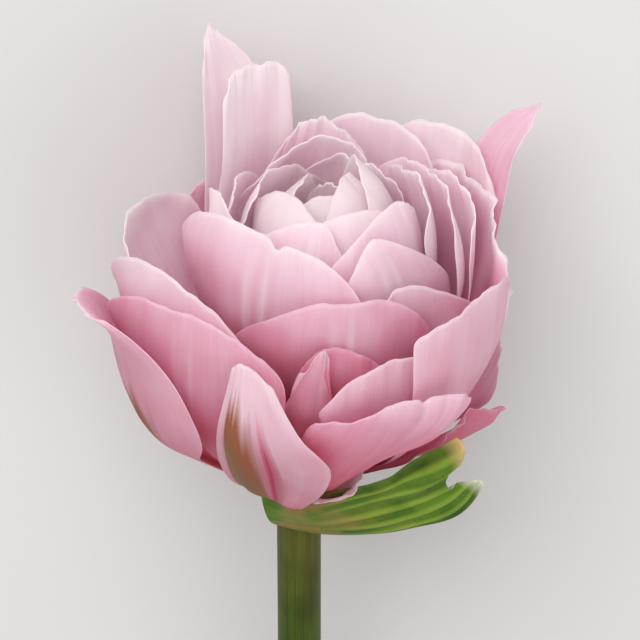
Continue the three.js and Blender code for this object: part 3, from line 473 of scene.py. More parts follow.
def finer(grid):
    """The same surface, FINER times finer each way, by straight lines between its points."""
    rows, columns = grid.shape[0] - 1, grid.shape[1] - 1
    v = np.arange(rows * FINER + 1) / FINER
    u = np.arange(columns * FINER + 1) / FINER
    j = np.minimum(v.astype(int), rows - 1)
    i = np.minimum(u.astype(int), columns - 1)
    up = (v - j)[:, None, None]
    low = grid[j] * (1 - up) + grid[j + 1] * up
    right = (u - i)[None, :, None]
    return low[:, i] * (1 - right) + low[:, i + 1] * right


def evened(values):
    """Each value mixed with its neighbours, one half itself and a quarter each side, both ways."""
    padded = np.pad(values, 1, mode="edge")
    rows = (padded[:-2] + 2 * padded[1:-1] + padded[2:]) / 4
    return (rows[:, :-2] + 2 * rows[:, 1:-1] + rows[:, 2:]) / 4


@cache
def settled():
    """How far each point of every petal's plain grid is moved out, in the order of PETALS, so
    that it lies clear over the petals before it. Each move is the largest need close by."""
    taken = np.zeros((CELLS_ROUND, CELLS_UP))
    moves = []
    u = np.linspace(-1, 1, COLUMNS + 1)
    share = np.ones((ROWS + 1, 1))
    share[:len(FOOT_SHARES), 0] = FOOT_SHARES
    for petal in PETALS:
        place = np.sin(np.pi / 2 * u)
        height = np.linspace(0, 1, ROWS + 1)[:, None] * margin_height(petal, place)
        grid = middle_surface(petal, np.broadcast_to(place, height.shape), height)[0]
        total = np.zeros(height.shape)
        for turn in range(SETTLE_TURNS):
            fine = finer(grid)
            away, reach, around, up, _ = place_round(fine)
            slant = np.clip(np.abs((back_of(fine) * away).sum(-1)), LEAST_SLANT, 1)
            top = taken_at(taken, around, up)
            space = petal.get("space", SPACE) / slant if turn == 0 else LATER_SPACE * SPACE
            need = np.where(top > 0, np.maximum(top + space - reach, 0), 0)
            padded = np.pad(need, FINER - 1)
            windows = np.lib.stride_tricks.sliding_window_view(padded, (2 * FINER - 1,) * 2)
            most = windows[::FINER, ::FINER].max(axis=(2, 3))
            move = np.maximum(most, evened(most)) * share
            grid = grid + place_round(grid)[0] * move[..., None]
            total += move
        take(taken, finer(grid))
        moves.append(total)
    return moves


def lean_turn():
    """Matrix of the bloom's lean, towards +X."""
    return np.array(Matrix.Rotation(np.radians(LEAN), 3, "Y"))


def lie_turn():
    """Matrix of the flower's turn from upright to lying, about the X axis."""
    return np.array(Matrix.Rotation(-np.radians(90 - LIE_TILT), 3, "X"))


def stem_rings(profile, sides):
    """Rings of points round the axis, for pairs of height and radius, in the flower's frame.
    The rings of the cone, from height 0 up, lean with the bloom."""
    heights, radii = np.asarray(profile, float).T
    angle = 2 * np.pi * (np.arange(sides) + 0.5) / sides
    ring = np.stack([np.cos(angle), np.sin(angle)], -1)
    points = np.concatenate([
        radii[:, None, None] * ring,
        np.broadcast_to(heights[:, None, None], (len(heights), sides, 1)),
    ], -1)
    points[heights >= 0] = points[heights >= 0] @ lean_turn().T
    return points


@cache
def lying_shift():
    """The move, in mm, from the turned flower to its place in the frame: the stem's upper
    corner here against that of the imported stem."""
    profile = [
        (-STEM_LENGTH, STEM_RADIUS), (-NECK_DEPTH, STEM_RADIUS),
        (-NECK_DEPTH / 2, (STEM_RADIUS + CONE_RADIUS) / 2), (0, CONE_RADIUS),
        (CONE_HEIGHT / 2, cone_radius(CONE_HEIGHT / 2)), (CONE_HEIGHT, cone_radius(CONE_HEIGHT)),
    ]
    points = stem_rings(profile, CAD_STEM_SIDES) @ lie_turn().T
    return np.array(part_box("stem")[1]) / MM - points.reshape(-1, 3).max(0)


def in_frame(points, leaning=True):
    """Points of the bloom, or of the stem if not leaning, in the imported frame, in metres, and
    none below the ground."""
    turn = lie_turn() @ lean_turn() if leaning else lie_turn()
    placed = points @ turn.T + lying_shift()
    placed[..., 2] = np.maximum(placed[..., 2], 0)
    return placed * MM


def nicks(petal, place):
    """Small notches of the margin: a sum of sine waves across the blade, flattened to steps,
    in some stretches of it only. Each petal's waves start elsewhere, by its number."""
    number = NUMBERS[petal["name"]]
    spot = 2 * np.arcsin(np.clip(place, -1, 1)) / np.pi
    waves = sum(np.sin(wave * spot + 2.4 * number + 1.7 * k) / wave for k, wave in enumerate(NICK_WAVES))
    where = ramp(np.sin(4.1 * spot + 1.3 * number) + 0.4 * np.sin(9.7 * spot + number), 0.0, 0.9)
    return NICK_DEPTH * where * (0.5 + 0.5 * np.tanh(12 * waves)) * (1 - 0.5 * np.abs(place))


def fine_blade(petal, settings):
    """Middle surface of the fine petal, with its places, heights and distances to the
    margin. The margin has nicks and is rolled out and ruffled:
    waves along the margin that grow towards it, square to the blade. Shallow dents, products
    of slow sine waves, keep the rest of the blade from being quite even."""
    number = NUMBERS[petal["name"]]
    u = np.linspace(0, 1, FINE_COLUMNS + 1)
    v = np.linspace(0, 1, FINE_ROWS + 1)
    across = np.sin(np.pi * (u - 0.5))
    top = margin_height(petal, across) - nicks(petal, across)
    height = v[:, None] * top
    place = np.broadcast_to(across, height.shape)
    shape = {**petal, "left": petal.get("fine_left", halves(petal, "left"))}
    shape["right"] = halves(petal, "right")
    grid, width, length = middle_surface(shape, place, height, petal.get("roll", (14, 14)))
    move = np.maximum(keys(keys(settled()[number], v).T, u).T, 0)
    grid = grid + place_round(grid)[0] * move[..., None]
    to_top = (1 - v[:, None]) * top * length
    to_side = (1 - np.abs(place)) * width
    to_margin = np.minimum(to_top, to_side)
    back = back_of(grid)
    deep, waves = petal.get("ruffle", (0.3, 3))
    phase = 2.4 * number
    around = waves * np.pi * place + phase
    swing = np.sin(around) + 0.5 * np.sin(2.3 * around + phase) + 0.25 * np.sin(5.1 * around + 2 * phase)
    upward = waves * np.pi * height + phase
    beside = (np.sin(upward) + 0.4 * np.sin(2.7 * upward)) * np.exp(-to_side / 2.5)
    swing = swing * np.exp(-to_top / 4) + beside
    curl = petal.get("curl", 0.3) * np.exp(-to_top / 3)
    dent = DENT * np.sin(3.3 * place + phase) * np.sin(7.1 * height + 1.6 * phase)
    dent = dent + 0.6 * DENT * np.sin(7.9 * place + 4.3 * height + phase)
    lift = (settings.ruffle * deep * swing + curl) * ramp(height, 0.3, 0.8) + dent * ramp(height, 0.1, 0.4)
    grid = grid + back * lift[..., None]
    return grid, place, height, to_margin


def blade_faces(rows, columns):
    """Quads of a closed blade on two grids of points: back, then face, then the margin's wall.
    Returns the quads and how many of them belong to the back and the face."""
    across, up = np.meshgrid(np.arange(columns - 1), np.arange(rows - 1))
    a = (up * columns + across).ravel()
    b, c, d = a + 1, a + 1 + columns, a + columns
    half = rows * columns
    back = np.stack([a, b, c, d], -1)
    face = np.stack([a, d, c, b], -1) + half
    i = np.arange(columns - 1)
    j = np.arange(rows - 1)
    start = np.concatenate([
        i, (rows - 1) * columns + i + 1, j * columns + columns - 1, (j + 1) * columns,
    ])
    stop = np.concatenate([
        i + 1, (rows - 1) * columns + i, (j + 1) * columns + columns - 1, j * columns,
    ])
    wall = np.stack([stop, start, start + half, stop + half], -1)
    return np.concatenate([back, face, wall]), 2 * len(a)


def new_piece(name, points, faces, smooth, material, node):
    """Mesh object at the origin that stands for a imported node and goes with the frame."""
    mesh = bpy.data.meshes.new(name)
    mesh.from_pydata(points.tolist(), [], faces)
    mesh.polygons.foreach_set("use_smooth", smooth)
    mesh.materials.append(material)
    piece = bpy.data.objects.new(name, mesh)
    bpy.context.scene.collection.objects.link(piece)
    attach(piece, "root")
    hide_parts(node)
    return piece


def add_values(piece, name, values):
    """One number for each vertex, which the materials read by name."""
    layer = piece.data.attributes.new(name, "FLOAT", "POINT")
    layer.data.foreach_set("value", np.asarray(values, np.float32).ravel())


def add_flat_map(piece, across, up):
    """UV map of each vertex's place across and up the piece, both 0 to 1."""
    corners = np.empty(len(piece.data.loops), np.int32)
    piece.data.loops.foreach_get("vertex_index", corners)
    flat = np.stack([across.ravel(), up.ravel()], -1)[corners]
    piece.data.uv_layers.new(name="flat").data.foreach_set("uv", flat.astype(np.float32).ravel())


def dress_petal(name, material, settings):
    """The fine blade of one petal: the middle surface, half its thickness to each side, with
    the colour values of back and face. Ribs stand out beside the midrib on the back and are
    grooves on the face."""
    petal = PETALS[NUMBERS[name]]
    grid, place, height, to_margin = fine_blade(petal, settings)
    thick = BLADE_MARGIN + (settings.blade / MM - BLADE_MARGIN) * (1 - np.exp(-to_margin / BLADE_FADE))
    back = back_of(grid)
    rib = petal.get("ribs", 0.25) * (1 - ramp(height, 0.75, 1.0))
    ridge = rib * sum(np.exp(-((place - side) / RIB_WIDTH) ** 2) for side in RIB_PLACES)
    count, deep = petal.get("ridges", (0, 0))
    keel = np.cos(np.pi * count * place + np.sin(3 * place + 4 * height))
    keel = keel * ramp(height, 0.2, 0.5) * (1 - ramp(height, 0.88, 1.0))
    grid = grid + back * (RIB_HEIGHT * ridge + deep * keel)[..., None]
    ridge = ridge + (count > 0) * keel
    sides = [grid + back * (thick / 2)[..., None], grid - back * (thick / 2)[..., None]]
    faces, broad = blade_faces(*height.shape)
    points = in_frame(np.concatenate([half.reshape(-1, 3) for half in sides]))
    smooth = np.arange(len(faces)) < broad
    piece = new_piece(name + "_blade", points, faces.tolist(), smooth, material, name)
    # Blush from foot to top: the petals' own depth of pink, laid on deepest at the feet partly as painted
    # shade of the hollows between the petals.
    pink = petal.get("pink", ((0, 0, 0), (0, 0, 0)))
    blush = np.stack([keys(side, height) for side in pink])
    at, width, top, strength = petal.get("streak", (0, 1, 1, 0))
    green = strength * np.exp(-((place - at) / width) ** 2) * (1 - ramp(height, top - 0.35, top))
    green = green * (1.2 - 0.6 * height)
    at, width, top = petal.get("line", (0, 1, 0.3))
    line = np.exp(-((place - at) / width) ** 2) * (1 - ramp(height, top - 0.3, top))
    line = line * ("line" in petal)
    rim = petal.get("rim", 0.16) * np.exp(-to_margin / 0.9) * ramp(height, 0.2, 0.5)
    none = np.zeros(height.shape)
    add_values(piece, "blush", blush)
    add_values(piece, "green", [green, none])
    add_values(piece, "magenta", [line, 0.4 * line])
    add_values(piece, "rim", [rim, rim])
    # ridge is positive on the back and negative on the face, for the painted highlight on raised ribs and
    # ridges and the painted shade in their grooves.
    add_values(piece, "ridge", [ridge, -ridge])
    add_values(piece, "number", np.full((2,) + height.shape, NUMBERS[name]))
    across = np.stack([0.5 + place / 2] * 2)
    add_flat_map(piece, across, np.stack([height] * 2))


def add(tree, kind, inputs=None, **settings):
    """A node of a tree, with its settings, and its inputs set to values or linked."""
    node = tree.nodes.new(kind)
    for name, value in settings.items():
        setattr(node, name, value)
    for name, value in (inputs or {}).items():
        if isinstance(value, bpy.types.NodeSocket):
            tree.links.new(value, node.inputs[name])
        else:
            node.inputs[name].default_value = value
    return node


def maths(tree, operation, *values):
    """Result of a Math node on values or sockets."""
    return add(tree, "ShaderNodeMath", dict(enumerate(values)), operation=operation).outputs[0]


def colour_of(values):
    """A colour as the four numbers of a node's colour input; a socket stays as it is."""
    return values if isinstance(values, bpy.types.NodeSocket) else (*values[:3], 1.0)


def blend(tree, share, low, high):
    """Colour between low and high, by a share from 0 to 1."""
    inputs = {"Factor": share, 6: colour_of(low), 7: colour_of(high)}
    return add(tree, "ShaderNodeMix", inputs, data_type="RGBA").outputs[2]


def stretch(tree, value, low, high, to_low=0.0, to_high=1.0):
    """Value moved from the range low to high to another range, and kept inside it."""
    inputs = {0: value, 1: low, 2: high, 3: to_low, 4: to_high}
    return add(tree, "ShaderNodeMapRange", inputs).outputs[0]


def reading(tree, name):
    """A number that each vertex of the piece holds."""
    return add(tree, "ShaderNodeAttribute", attribute_name=name).outputs["Fac"]


def group(name, inputs, outputs):
    """New node group with float inputs and outputs. Returns its tree, the sockets of its inputs
    and those that its outputs take."""
    tree = bpy.data.node_groups.new(name, "ShaderNodeTree")
    for label, value in inputs.items():
        socket = tree.interface.new_socket(label, in_out="INPUT", socket_type="NodeSocketFloat")
        socket.default_value = value
    for label in outputs:
        tree.interface.new_socket(label, in_out="OUTPUT", socket_type="NodeSocketFloat")
    return tree, tree.nodes.new("NodeGroupInput").outputs, tree.nodes.new("NodeGroupOutput").inputs


def placed(tree, made, **inputs):
    """Outputs of a group put into a material, with the inputs that are given."""
    return add(tree, "ShaderNodeGroup", inputs, node_tree=made).outputs


@cache
def fan_veins():
    """Veins that run up a blade and spread with it: noise over the flat map, drawn out along
    the blade, in broad bands and in fine lines."""
    tree, given, result = group(
        "fan_veins", {"Count": 40.0, "Number": 0.0, "Along": 1.2}, ("Bands", "Lines", "Height"))
    flat = add(tree, "ShaderNodeUVMap", uv_map="flat").outputs[0]
    split = add(tree, "ShaderNodeSeparateXYZ", {0: flat}).outputs
    masks = []
    for share, along in ((0.22, 0.8), (1.0, 1.0), (2.3, 1.6)):
        across = maths(tree, "MULTIPLY", split[0], maths(tree, "MULTIPLY", given["Count"], share))
        up = maths(tree, "MULTIPLY", split[1], maths(tree, "MULTIPLY", given["Along"], along))
        spot = add(tree, "ShaderNodeCombineXYZ", {0: across, 1: up, 2: given["Number"]}).outputs[0]
        noise = add(tree, "ShaderNodeTexNoise", {"Vector": spot, "Scale": 1.0, "Detail": 2.0})
        masks.append(noise.outputs[0])
    bands, lines, fine = masks
    tree.links.new(stretch(tree, bands, 0.3, 0.7), result["Bands"])
    both = maths(tree, "MULTIPLY_ADD", fine, 0.45, maths(tree, "MULTIPLY", lines, 0.55))
    tree.links.new(stretch(tree, both, 0.36, 0.64), result["Lines"])
    tree.links.new(both, result["Height"])
    return tree


@cache
def soft_mottle():
    """Cloudy patches over the whole flower: noise over its own coordinates."""
    tree, given, result = group("soft_mottle", {"Scale": 120.0, "Number": 0.0}, ("Patches",))
    spot = add(tree, "ShaderNodeTexCoord").outputs["Object"]
    moved = add(tree, "ShaderNodeCombineXYZ", {2: given["Number"]}).outputs[0]
    spot = add(tree, "ShaderNodeVectorMath", {0: spot, 1: moved}, operation="ADD").outputs[0]
    noise = add(tree, "ShaderNodeTexNoise", {"Vector": spot, "Scale": given["Scale"], "Detail": 3.0})
    tree.links.new(stretch(tree, noise.outputs[0], 0.35, 0.65), result["Patches"])
    return tree


def new_material(name, sheen, through, gloss=0.5):
    """Material whose Principled shader is mixed with a Translucent one by the share that goes
    through the blade. Returns the material, its tree and both shaders."""
    material = bpy.data.materials.new(name)
    material.use_nodes = True
    tree = material.node_tree
    tree.nodes.clear()
    skin = add(tree, "ShaderNodeBsdfPrincipled", {
        "Sheen Weight": sheen, "Sheen Roughness": 0.4, "IOR": 1.4, "Specular IOR Level": gloss})
    lit = add(tree, "ShaderNodeBsdfTranslucent")
    mix = add(tree, "ShaderNodeMixShader", {0: through, 1: skin.outputs[0], 2: lit.outputs[0]})
    add(tree, "ShaderNodeOutputMaterial", {0: mix.outputs[0]})
    return material, tree, skin, lit


def link_skin(tree, skin, lit, veins, colour, through, rough, depth, strength):
    """Links the colours of the skin and of the light that comes through it, the roughness,
    which changes along the veins' lines, and their relief. Returns the relief."""
    bump = add(tree, "ShaderNodeBump", {"Height": veins["Height"], "Distance": depth, "Strength": strength})
    tree.links.new(colour, skin.inputs["Base Color"])
    tree.links.new(through, lit.inputs["Color"])
    tree.links.new(stretch(tree, veins["Lines"], 0, 1, *rough), skin.inputs["Roughness"])
    tree.links.new(bump.outputs[0], skin.inputs["Normal"])
    return bump.outputs[0]


def petal_material(name, finish):
    """Petal: from white over pale and rose to deep pink by the blush value, moved by veins
    and mottle; the deep pink at the feet is partly their own colour and partly painted shade
    of the hollows. Raised ribs on the back are painted lighter, as painted highlight, and their
    grooves on the face deeper, as painted shade. Green on the streaks with brown beside it,
    magenta lines and a white rim. The light that comes through is tinted further towards pink."""
    material, tree, skin, lit = new_material(name, 0.12, finish.through)
    number = reading(tree, "number")
    veins = placed(tree, fan_veins(), Count=finish.vein_count, Number=number)
    patches = placed(tree, soft_mottle(), Scale=110.0, Number=number)["Patches"]
    blush = reading(tree, "blush")
    moved = maths(tree, "MULTIPLY", veins["Lines"], 0.08)
    moved = maths(tree, "MULTIPLY_ADD", veins["Bands"], 0.12, moved)
    moved = maths(tree, "MULTIPLY_ADD", patches, 0.16, maths(tree, "SUBTRACT", moved, 0.18))
    weight = maths(tree, "MULTIPLY_ADD", blush, 0.75, 0.3)
    depth = maths(tree, "MULTIPLY_ADD", moved, weight, blush)
    ridge = reading(tree, "ridge")
    # Painted highlight on the raised ribs of the back and painted shade in their grooves on the face.
    depth = maths(tree, "MULTIPLY_ADD", ridge, -0.26, depth)
    depth = maths(tree, "SUBTRACT", depth, maths(tree, "MULTIPLY", reading(tree, "rim"), 0.55))
    pink = add(tree, "ShaderNodeValToRGB", {0: depth})
    stops = pink.color_ramp.elements
    stops[0].position, stops[0].color = 0.0, colour_of(finish.white)
    stops[1].position, stops[1].color = 1.0, colour_of(finish.deep)
    for at, shade in ((0.15, finish.pale), (0.35, finish.light), (0.55, finish.pink), (0.8, finish.rose)):
        stops.new(at).color = colour_of(shade)
    green = maths(tree, "MULTIPLY", reading(tree, "green"), 1.3)
    green = maths(tree, "MULTIPLY_ADD", veins["Bands"], 0.5, green)
    brown = stretch(tree, green, 0.5, 0.85)
    colour = blend(tree, brown, pink.outputs[0], finish.brown)
    colour = blend(tree, stretch(tree, green, 0.9, 1.5), colour, finish.green)
    line = maths(tree, "MULTIPLY_ADD", veins["Lines"], 0.3, reading(tree, "magenta"))
    line = stretch(tree, line, 0.35, 1.2)
    colour = blend(tree, line, colour, finish.magenta)
    through = blend(tree, GLOW_SHARE, colour, finish.glow)
    relief = link_skin(tree, skin, lit, veins, colour, through, (0.42, 0.56), 0.0003, 0.4)
    tree.links.new(relief, lit.inputs["Normal"])
    return material


def bract_material(finish):
    """Bract: green in bands along its veins, yellow-green in patches and on its ridge tops,
    where it is painted highlight, brown blotches low down, a whitish inner side, and two
    tips, one orange and one whitish."""
    material, tree, skin, lit = new_material("bract_green", 0.0, 0.2, 0.35)
    veins = placed(tree, fan_veins(), Count=30.0, Number=41.0, Along=2.0)
    patches = placed(tree, soft_mottle(), Scale=140.0)["Patches"]
    flat = add(tree, "ShaderNodeUVMap", uv_map="flat").outputs[0]
    across, up, _ = add(tree, "ShaderNodeSeparateXYZ", {0: flat}).outputs
    colour = blend(tree, veins["Bands"], finish.leaf_dark, finish.leaf)
    # Painted highlight: the ridge tops, and random patches, turn yellow-green.
    ridge = stretch(tree, reading(tree, "ridge"), -0.2, 1.0)
    share = maths(tree, "MULTIPLY_ADD", patches, 0.3, maths(tree, "MULTIPLY", ridge, 0.55))
    colour = blend(tree, share, colour, finish.leaf_pale_and_highlight)
    low = maths(tree, "MULTIPLY", stretch(tree, up, 0.65, 0.15), stretch(tree, patches, 0.35, 0.9))
    colour = blend(tree, maths(tree, "MULTIPLY", low, 0.65), colour, finish.brown)
    inner = stretch(tree, reading(tree, "blush"), 0.2, 0.8)
    colour = blend(tree, inner, colour, finish.leaf_light)
    end = stretch(tree, maths(tree, "MULTIPLY_ADD", reading(tree, "rim"), 0.1, up), 0.9, 0.98)
    nub = stretch(tree, across, 0.45, 0.6)
    ends = blend(tree, nub, finish.tip, finish.leaf_light)
    colour = blend(tree, end, colour, ends)
    link_skin(tree, skin, lit, veins, colour, colour, (0.36, 0.5), 0.0006, 0.6)
    return material


def stem_material(finish):
    """Stem: green with lines along it and pale patches, browner near the bloom, and a pale
    cut with a darker skin."""
    material, tree, skin, lit = new_material("stem_green", 0.0, 0.0, 0.15)
    veins = placed(tree, fan_veins(), Count=34.0, Number=7.0, Along=6.0)
    patches = placed(tree, soft_mottle(), Scale=90.0)["Patches"]
    colour = blend(tree, veins["Bands"], finish.leaf_dark, finish.stalk)
    share = maths(tree, "MULTIPLY", veins["Lines"], maths(tree, "MULTIPLY", patches, 0.16))
    colour = blend(tree, share, colour, finish.leaf_pale_and_highlight)
    share = maths(tree, "MULTIPLY", reading(tree, "browned"), 0.12)
    colour = blend(tree, share, colour, finish.brown)
    colour = blend(tree, reading(tree, "cut"), colour, finish.cut)
    link_skin(tree, skin, lit, veins, colour, colour, (0.34, 0.46), 0.0004, 0.5)
    return material


def dress_stem(material):
    """Fine stem and cone: rings along the axis with slight lengthwise ribs, lifted to the
    ground where it lies, and a cut end that dips a little towards its middle."""
    heights = np.concatenate([
        np.linspace(-STEM_LENGTH, -NECK_DEPTH, STEM_RINGS),
        np.linspace(-NECK_DEPTH, 0, NECK_RINGS)[1:],
        np.linspace(0, CONE_HEIGHT, CONE_RINGS)[1:],
    ])
    swell = ramp(heights, -NECK_DEPTH, 0)
    radii = np.where(heights < 0, STEM_RADIUS + (CONE_RADIUS - STEM_RADIUS) * swell, cone_radius(heights))
    dips = np.array([(-STEM_LENGTH + CUT_EDGE + depth, share * STEM_RADIUS) for depth, share in CUT_DIP])
    profile = np.concatenate([dips, np.stack([heights, radii], -1)])
    points = stem_rings(profile, STEM_SIDES)
    rings = len(profile)
    angle = 2 * np.pi * (np.arange(STEM_SIDES) + 0.5) / STEM_SIDES
    rib = 1 + 0.008 * np.sin(5 * angle) + 0.005 * np.sin(11 * angle + 1)
    below = profile[:, 0] < 0
    points[below, :, :2] *= rib[:, None]
    middles = points[[0, -1]].mean(1)
    placed_points = in_frame(np.concatenate([points.reshape(-1, 3), middles]), leaning=False)
    i = np.arange(STEM_SIDES)
    after = (i + 1) % STEM_SIDES
    ring = np.arange(rings - 1)[:, None] * STEM_SIDES
    quads = np.stack([ring + i, ring + after, ring + after + STEM_SIDES, ring + i + STEM_SIDES], -1)
    last = (rings - 1) * STEM_SIDES
    ends = np.concatenate([
        np.stack([np.full(STEM_SIDES, rings * STEM_SIDES), after, i], -1),
        np.stack([np.full(STEM_SIDES, rings * STEM_SIDES + 1), last + i, last + after], -1),
    ])
    faces = quads.reshape(-1, 4).tolist() + ends.tolist()
    piece = new_piece("stem_skin", placed_points, faces, np.ones(len(faces), bool), material, "stem")
    length = np.concatenate([np.repeat(profile[:, 0], STEM_SIDES), [-STEM_LENGTH, CONE_HEIGHT]])
    cut = np.concatenate([np.repeat(np.arange(rings) < len(dips), STEM_SIDES), [1, 0]])
    add_values(piece, "browned", ramp(length, -45, -5))
    add_values(piece, "cut", cut)
    round_way = np.concatenate([np.tile(np.minimum(i, STEM_SIDES - i) / STEM_SIDES * 2, rings), [0.5, 0.5]])
    add_flat_map(piece, round_way, (length + STEM_LENGTH) / (STEM_LENGTH + CONE_HEIGHT))


def floor_material(tone):
    """Plain pale floor with a barely seen unevenness."""
    material = bpy.data.materials.new("floor_pale")
    material.use_nodes = True
    tree = material.node_tree
    shader = tree.nodes["Principled BSDF"]
    patches = placed(tree, soft_mottle(), Scale=6.0)["Patches"]
    low = [FLOOR_SHADE * value for value in tone[:3]]
    tree.links.new(blend(tree, patches, low, tone), shader.inputs["Base Color"])
    shader.inputs["Roughness"].default_value = 0.8
    return material


def soft_light(name, power, direction, distance, size, colour):
    """Square area light at a distance from the bloom, facing it."""
    light = bpy.data.lights.new(name, "AREA")
    light.size = size
    light.energy = power
    light.color = colour
    lamp = bpy.data.objects.new(name, light)
    towards = Vector(direction).normalized()
    lamp.location = Vector(BLOOM) + towards * distance
    lamp.rotation_euler = towards.to_track_quat("Z", "Y").to_euler()
    bpy.context.scene.collection.objects.link(lamp)


def tint(name, description, default):
    """A colour property."""
    return FloatVectorProperty(
        name=name, description=description, default=default, subtype="COLOR", min=0.0, max=1.0)


class TulipShape(bpy.types.PropertyGroup):
    blade: FloatProperty(
        name="Blade", description="Thickness of a petal in its middle",
        default=BLADE_MIDDLE * MM, min=0.0002, max=0.0006, unit="LENGTH", precision=5)
    ruffle: FloatProperty(
        name="Ruffle", description="Share of the margins' waves", default=1.0, min=0.0, max=2.0)


class TulipFinish(bpy.types.PropertyGroup):
    through: FloatProperty(
        name="Through", description="Share of light that goes through a petal",
        default=0.58, min=0.0, max=0.8, subtype="FACTOR")
    vein_count: IntProperty(
        name="Veins", description="Number of veins across a petal", default=42, min=5, max=120)
    white: tint("White", "Palest part of the petals", (0.97, 0.95, 0.97))
    pale: tint("Pale pink", "Upper part of the inner petals", (0.92, 0.78, 0.86))
    light: tint("Light pink", "Upper part of the outer petals", (0.85, 0.53, 0.66))
    pink: tint("Pink", "Middle of the outer petals", (0.84, 0.36, 0.49))
    glow: tint("Glow", "Tint of the light that comes through a petal", (0.98, 0.51, 0.60))
    rose: tint("Rose", "Lower part of the petals", (0.82, 0.20, 0.31))
    # The deep pink at the petals' feet is partly their own colour and partly painted shade of the hollows
    # between them.
    deep: tint("Deep pink", "Foot and hollows of the petals", (0.66, 0.05, 0.10))
    magenta: tint("Magenta", "Line beside the green streak", (0.60, 0.05, 0.16))
    brown: tint("Olive brown", "Edge of the green streaks", (0.40, 0.17, 0.07))
    green: tint("Streak green", "Middle of the green streaks", (0.24, 0.23, 0.06))
    leaf: tint("Leaf green", "Bract", (0.075, 0.21, 0.003))
    leaf_dark: tint("Dark green", "Between the veins of bract and stem", (0.022, 0.06, 0.002))
    # Yellow green is the pale green of the bract's patches and the stem's lines, and painted highlight on
    # the bract's ridge tops.
    leaf_pale_and_highlight: tint("Yellow green", "Ridges of the bract", (0.30, 0.45, 0.04))
    leaf_light: tint("Whitish", "Inner side of the bract and its lower tip", (0.74, 0.76, 0.58))
    stalk: tint("Stem green", "Stem", (0.014, 0.03, 0.001))
    tip: tint("Tip", "Upper tip of the bract", (0.72, 0.52, 0.22))
    cut: tint("Cut", "Cut end of the stem", (0.50, 0.56, 0.30))


class TulipStage(bpy.types.PropertyGroup):
    elevation: FloatProperty(
        name="View height", description="Angle of the view above the bloom's side",
        default=np.radians(35.0), subtype="ANGLE")
    distance: FloatProperty(
        name="View distance", description="Camera to bloom", default=0.65, unit="LENGTH")
    field: FloatProperty(
        name="Field", description="Width of the view at the bloom", default=0.1152, unit="LENGTH")
    floor: tint("Floor", "Colour of the floor", (0.60, 0.60, 0.59))
    key: FloatProperty(name="Key light", description="Power of the main light", default=10.0, unit="POWER")
    fill: FloatProperty(name="Fill light", description="Power of the side light", default=4.0, unit="POWER")
    sky: FloatProperty(name="Sky", description="Strength of the even light", default=0.78)


class PetalGroup:
    """Dresses the petals whose names start with one of the group's words."""

    words = ()
    material = ""

    def execute(self, context):
        names = [petal["name"] for petal in PETALS if petal["name"].startswith(self.words)]
        scene = context.scene
        material = petal_material(self.material, scene.tulip_finish)
        for name in names:
            dress_petal(name, material, scene.tulip_shape)
        return {"FINISHED"}


class TULIP_OT_bud(PetalGroup, bpy.types.Operator):
    """Dress the closed petals of the bud"""

    bl_idname = "tulip.bud"
    bl_label = "Bud petals"
    words = ("petal_bud",)
    material = "petal_bud"


class TULIP_OT_inner(PetalGroup, bpy.types.Operator):
    """Dress the petals round the bud"""

    bl_idname = "tulip.inner"
    bl_label = "Inner petals"
    words = ("petal_inner", "petal_front_middle", "petal_front_sliver", "petal_back")
    material = "petal_inner"


class TULIP_OT_outer(PetalGroup, bpy.types.Operator):
    """Dress the outer petals"""

    bl_idname = "tulip.outer"
    bl_label = "Outer petals"
    words = ("petal_left", "petal_right", "petal_low", "petal_under", "petal_front_keel",
             "petal_front_right")
    material = "petal_outer"


class TULIP_OT_bract(bpy.types.Operator):
    """Dress the green bract under the bloom"""

    bl_idname = "tulip.bract"
    bl_label = "Bract"

    def execute(self, context):
        scene = context.scene
        dress_petal("green_bract", bract_material(scene.tulip_finish), scene.tulip_shape)
        return {"FINISHED"}


class TULIP_OT_stem(bpy.types.Operator):
    """Dress the stem and its cut end"""

    bl_idname = "tulip.stem"
    bl_label = "Stem"

    def execute(self, context):
        dress_stem(stem_material(context.scene.tulip_finish))
        return {"FINISHED"}


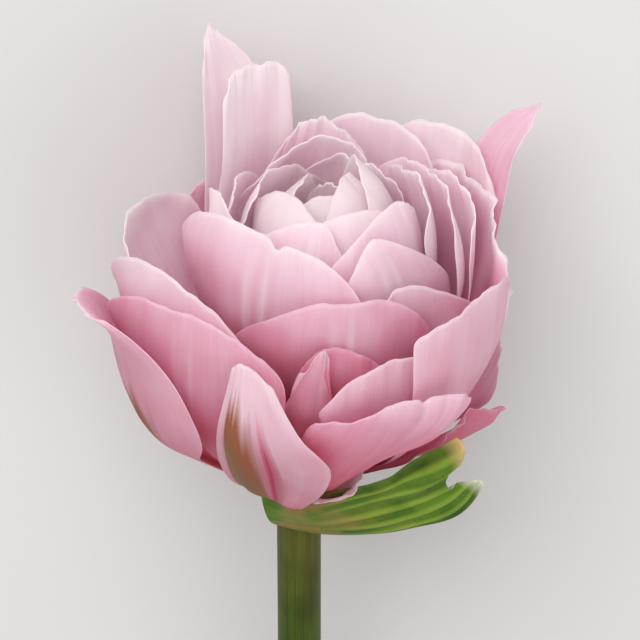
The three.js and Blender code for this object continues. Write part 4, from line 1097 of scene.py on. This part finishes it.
class TULIP_OT_stage(bpy.types.Operator):
    """Set the floor, the soft light and the camera"""

    bl_idname = "tulip.stage"
    bl_label = "Stage"

    def execute(self, context):
        scene = context.scene
        sizes = scene.tulip_stage
        mesh = bpy.data.meshes.new("floor")
        corners = [(FLOOR_HALF * x, FLOOR_HALF * y, 0) for x, y in ((-1, -1), (1, -1), (1, 1), (-1, 1))]
        mesh.from_pydata(corners, [], [(0, 1, 2, 3)])
        mesh.materials.append(floor_material(sizes.floor))
        floor = bpy.data.objects.new("floor", mesh)
        scene.collection.objects.link(floor)
        world = bpy.data.worlds.new("pale_sky")
        world.use_nodes = True
        sky = world.node_tree.nodes["Background"]
        sky.inputs["Color"].default_value = colour_of(SKY_TINT)
        sky.inputs["Strength"].default_value = sizes.sky
        scene.world = world
        scene.view_settings.view_transform = "Standard"
        soft_light("key_light", sizes.key, *KEY_LIGHT)
        soft_light("fill_light", sizes.fill, *FILL_LIGHT)
        rise = sizes.elevation
        turn = lie_turn()
        up = turn @ np.array([0, np.sin(rise), np.cos(rise)])
        towards = turn @ np.array([0, -np.cos(rise), np.sin(rise)])
        side = turn @ np.array([1.0, 0, 0])
        target = TARGET[0] * side + TARGET[1] * up + TARGET[2] * towards + lying_shift()
        camera = bpy.data.cameras.new("photo_view")
        camera.sensor_width = SENSOR
        camera.lens = SENSOR * sizes.distance / sizes.field
        view = bpy.data.objects.new("photo_view", camera)
        place = target * MM + towards * sizes.distance
        view.matrix_world = Matrix.Translation(Vector(place)) @ Matrix(
            [(*row, 0) for row in np.stack([side, up, towards], -1).tolist()] + [(0, 0, 0, 1)])
        scene.collection.objects.link(view)
        scene.camera = view
        return {"FINISHED"}


STEPS = (TULIP_OT_bud, TULIP_OT_inner, TULIP_OT_outer, TULIP_OT_bract, TULIP_OT_stem, TULIP_OT_stage)


class TULIP_PT_dress(bpy.types.Panel):
    """Lists the steps and the sizes and colours that they use"""

    bl_idname = "TULIP_PT_dress"
    bl_label = "Double tulip"
    bl_space_type = "VIEW_3D"
    bl_region_type = "UI"
    bl_category = "Tulip"

    def draw(self, context):
        column = self.layout.column()
        for step in STEPS:
            column.operator(step.bl_idname)
        for group_name in ("tulip_shape", "tulip_finish", "tulip_stage"):
            values = getattr(context.scene, group_name)
            for label in values.__annotations__:
                column.prop(values, label)


GROUPS = {"tulip_shape": TulipShape, "tulip_finish": TulipFinish, "tulip_stage": TulipStage}


def register():
    for name, kind in GROUPS.items():
        bpy.utils.register_class(kind)
        setattr(bpy.types.Scene, name, PointerProperty(type=kind))
    for kind in (*STEPS, TULIP_PT_dress):
        bpy.utils.register_class(kind)


def unregister():
    for kind in (TULIP_PT_dress, *reversed(STEPS)):
        bpy.utils.unregister_class(kind)
    for name, kind in reversed(list(GROUPS.items())):
        delattr(bpy.types.Scene, name)
        bpy.utils.unregister_class(kind)


def main():
    register()
    bpy.ops.tulip.bud()
    bpy.ops.tulip.inner()
    bpy.ops.tulip.outer()
    bpy.ops.tulip.bract()
    bpy.ops.tulip.stem()
    bpy.ops.tulip.stage()


if __name__ == "__main__":
    main()
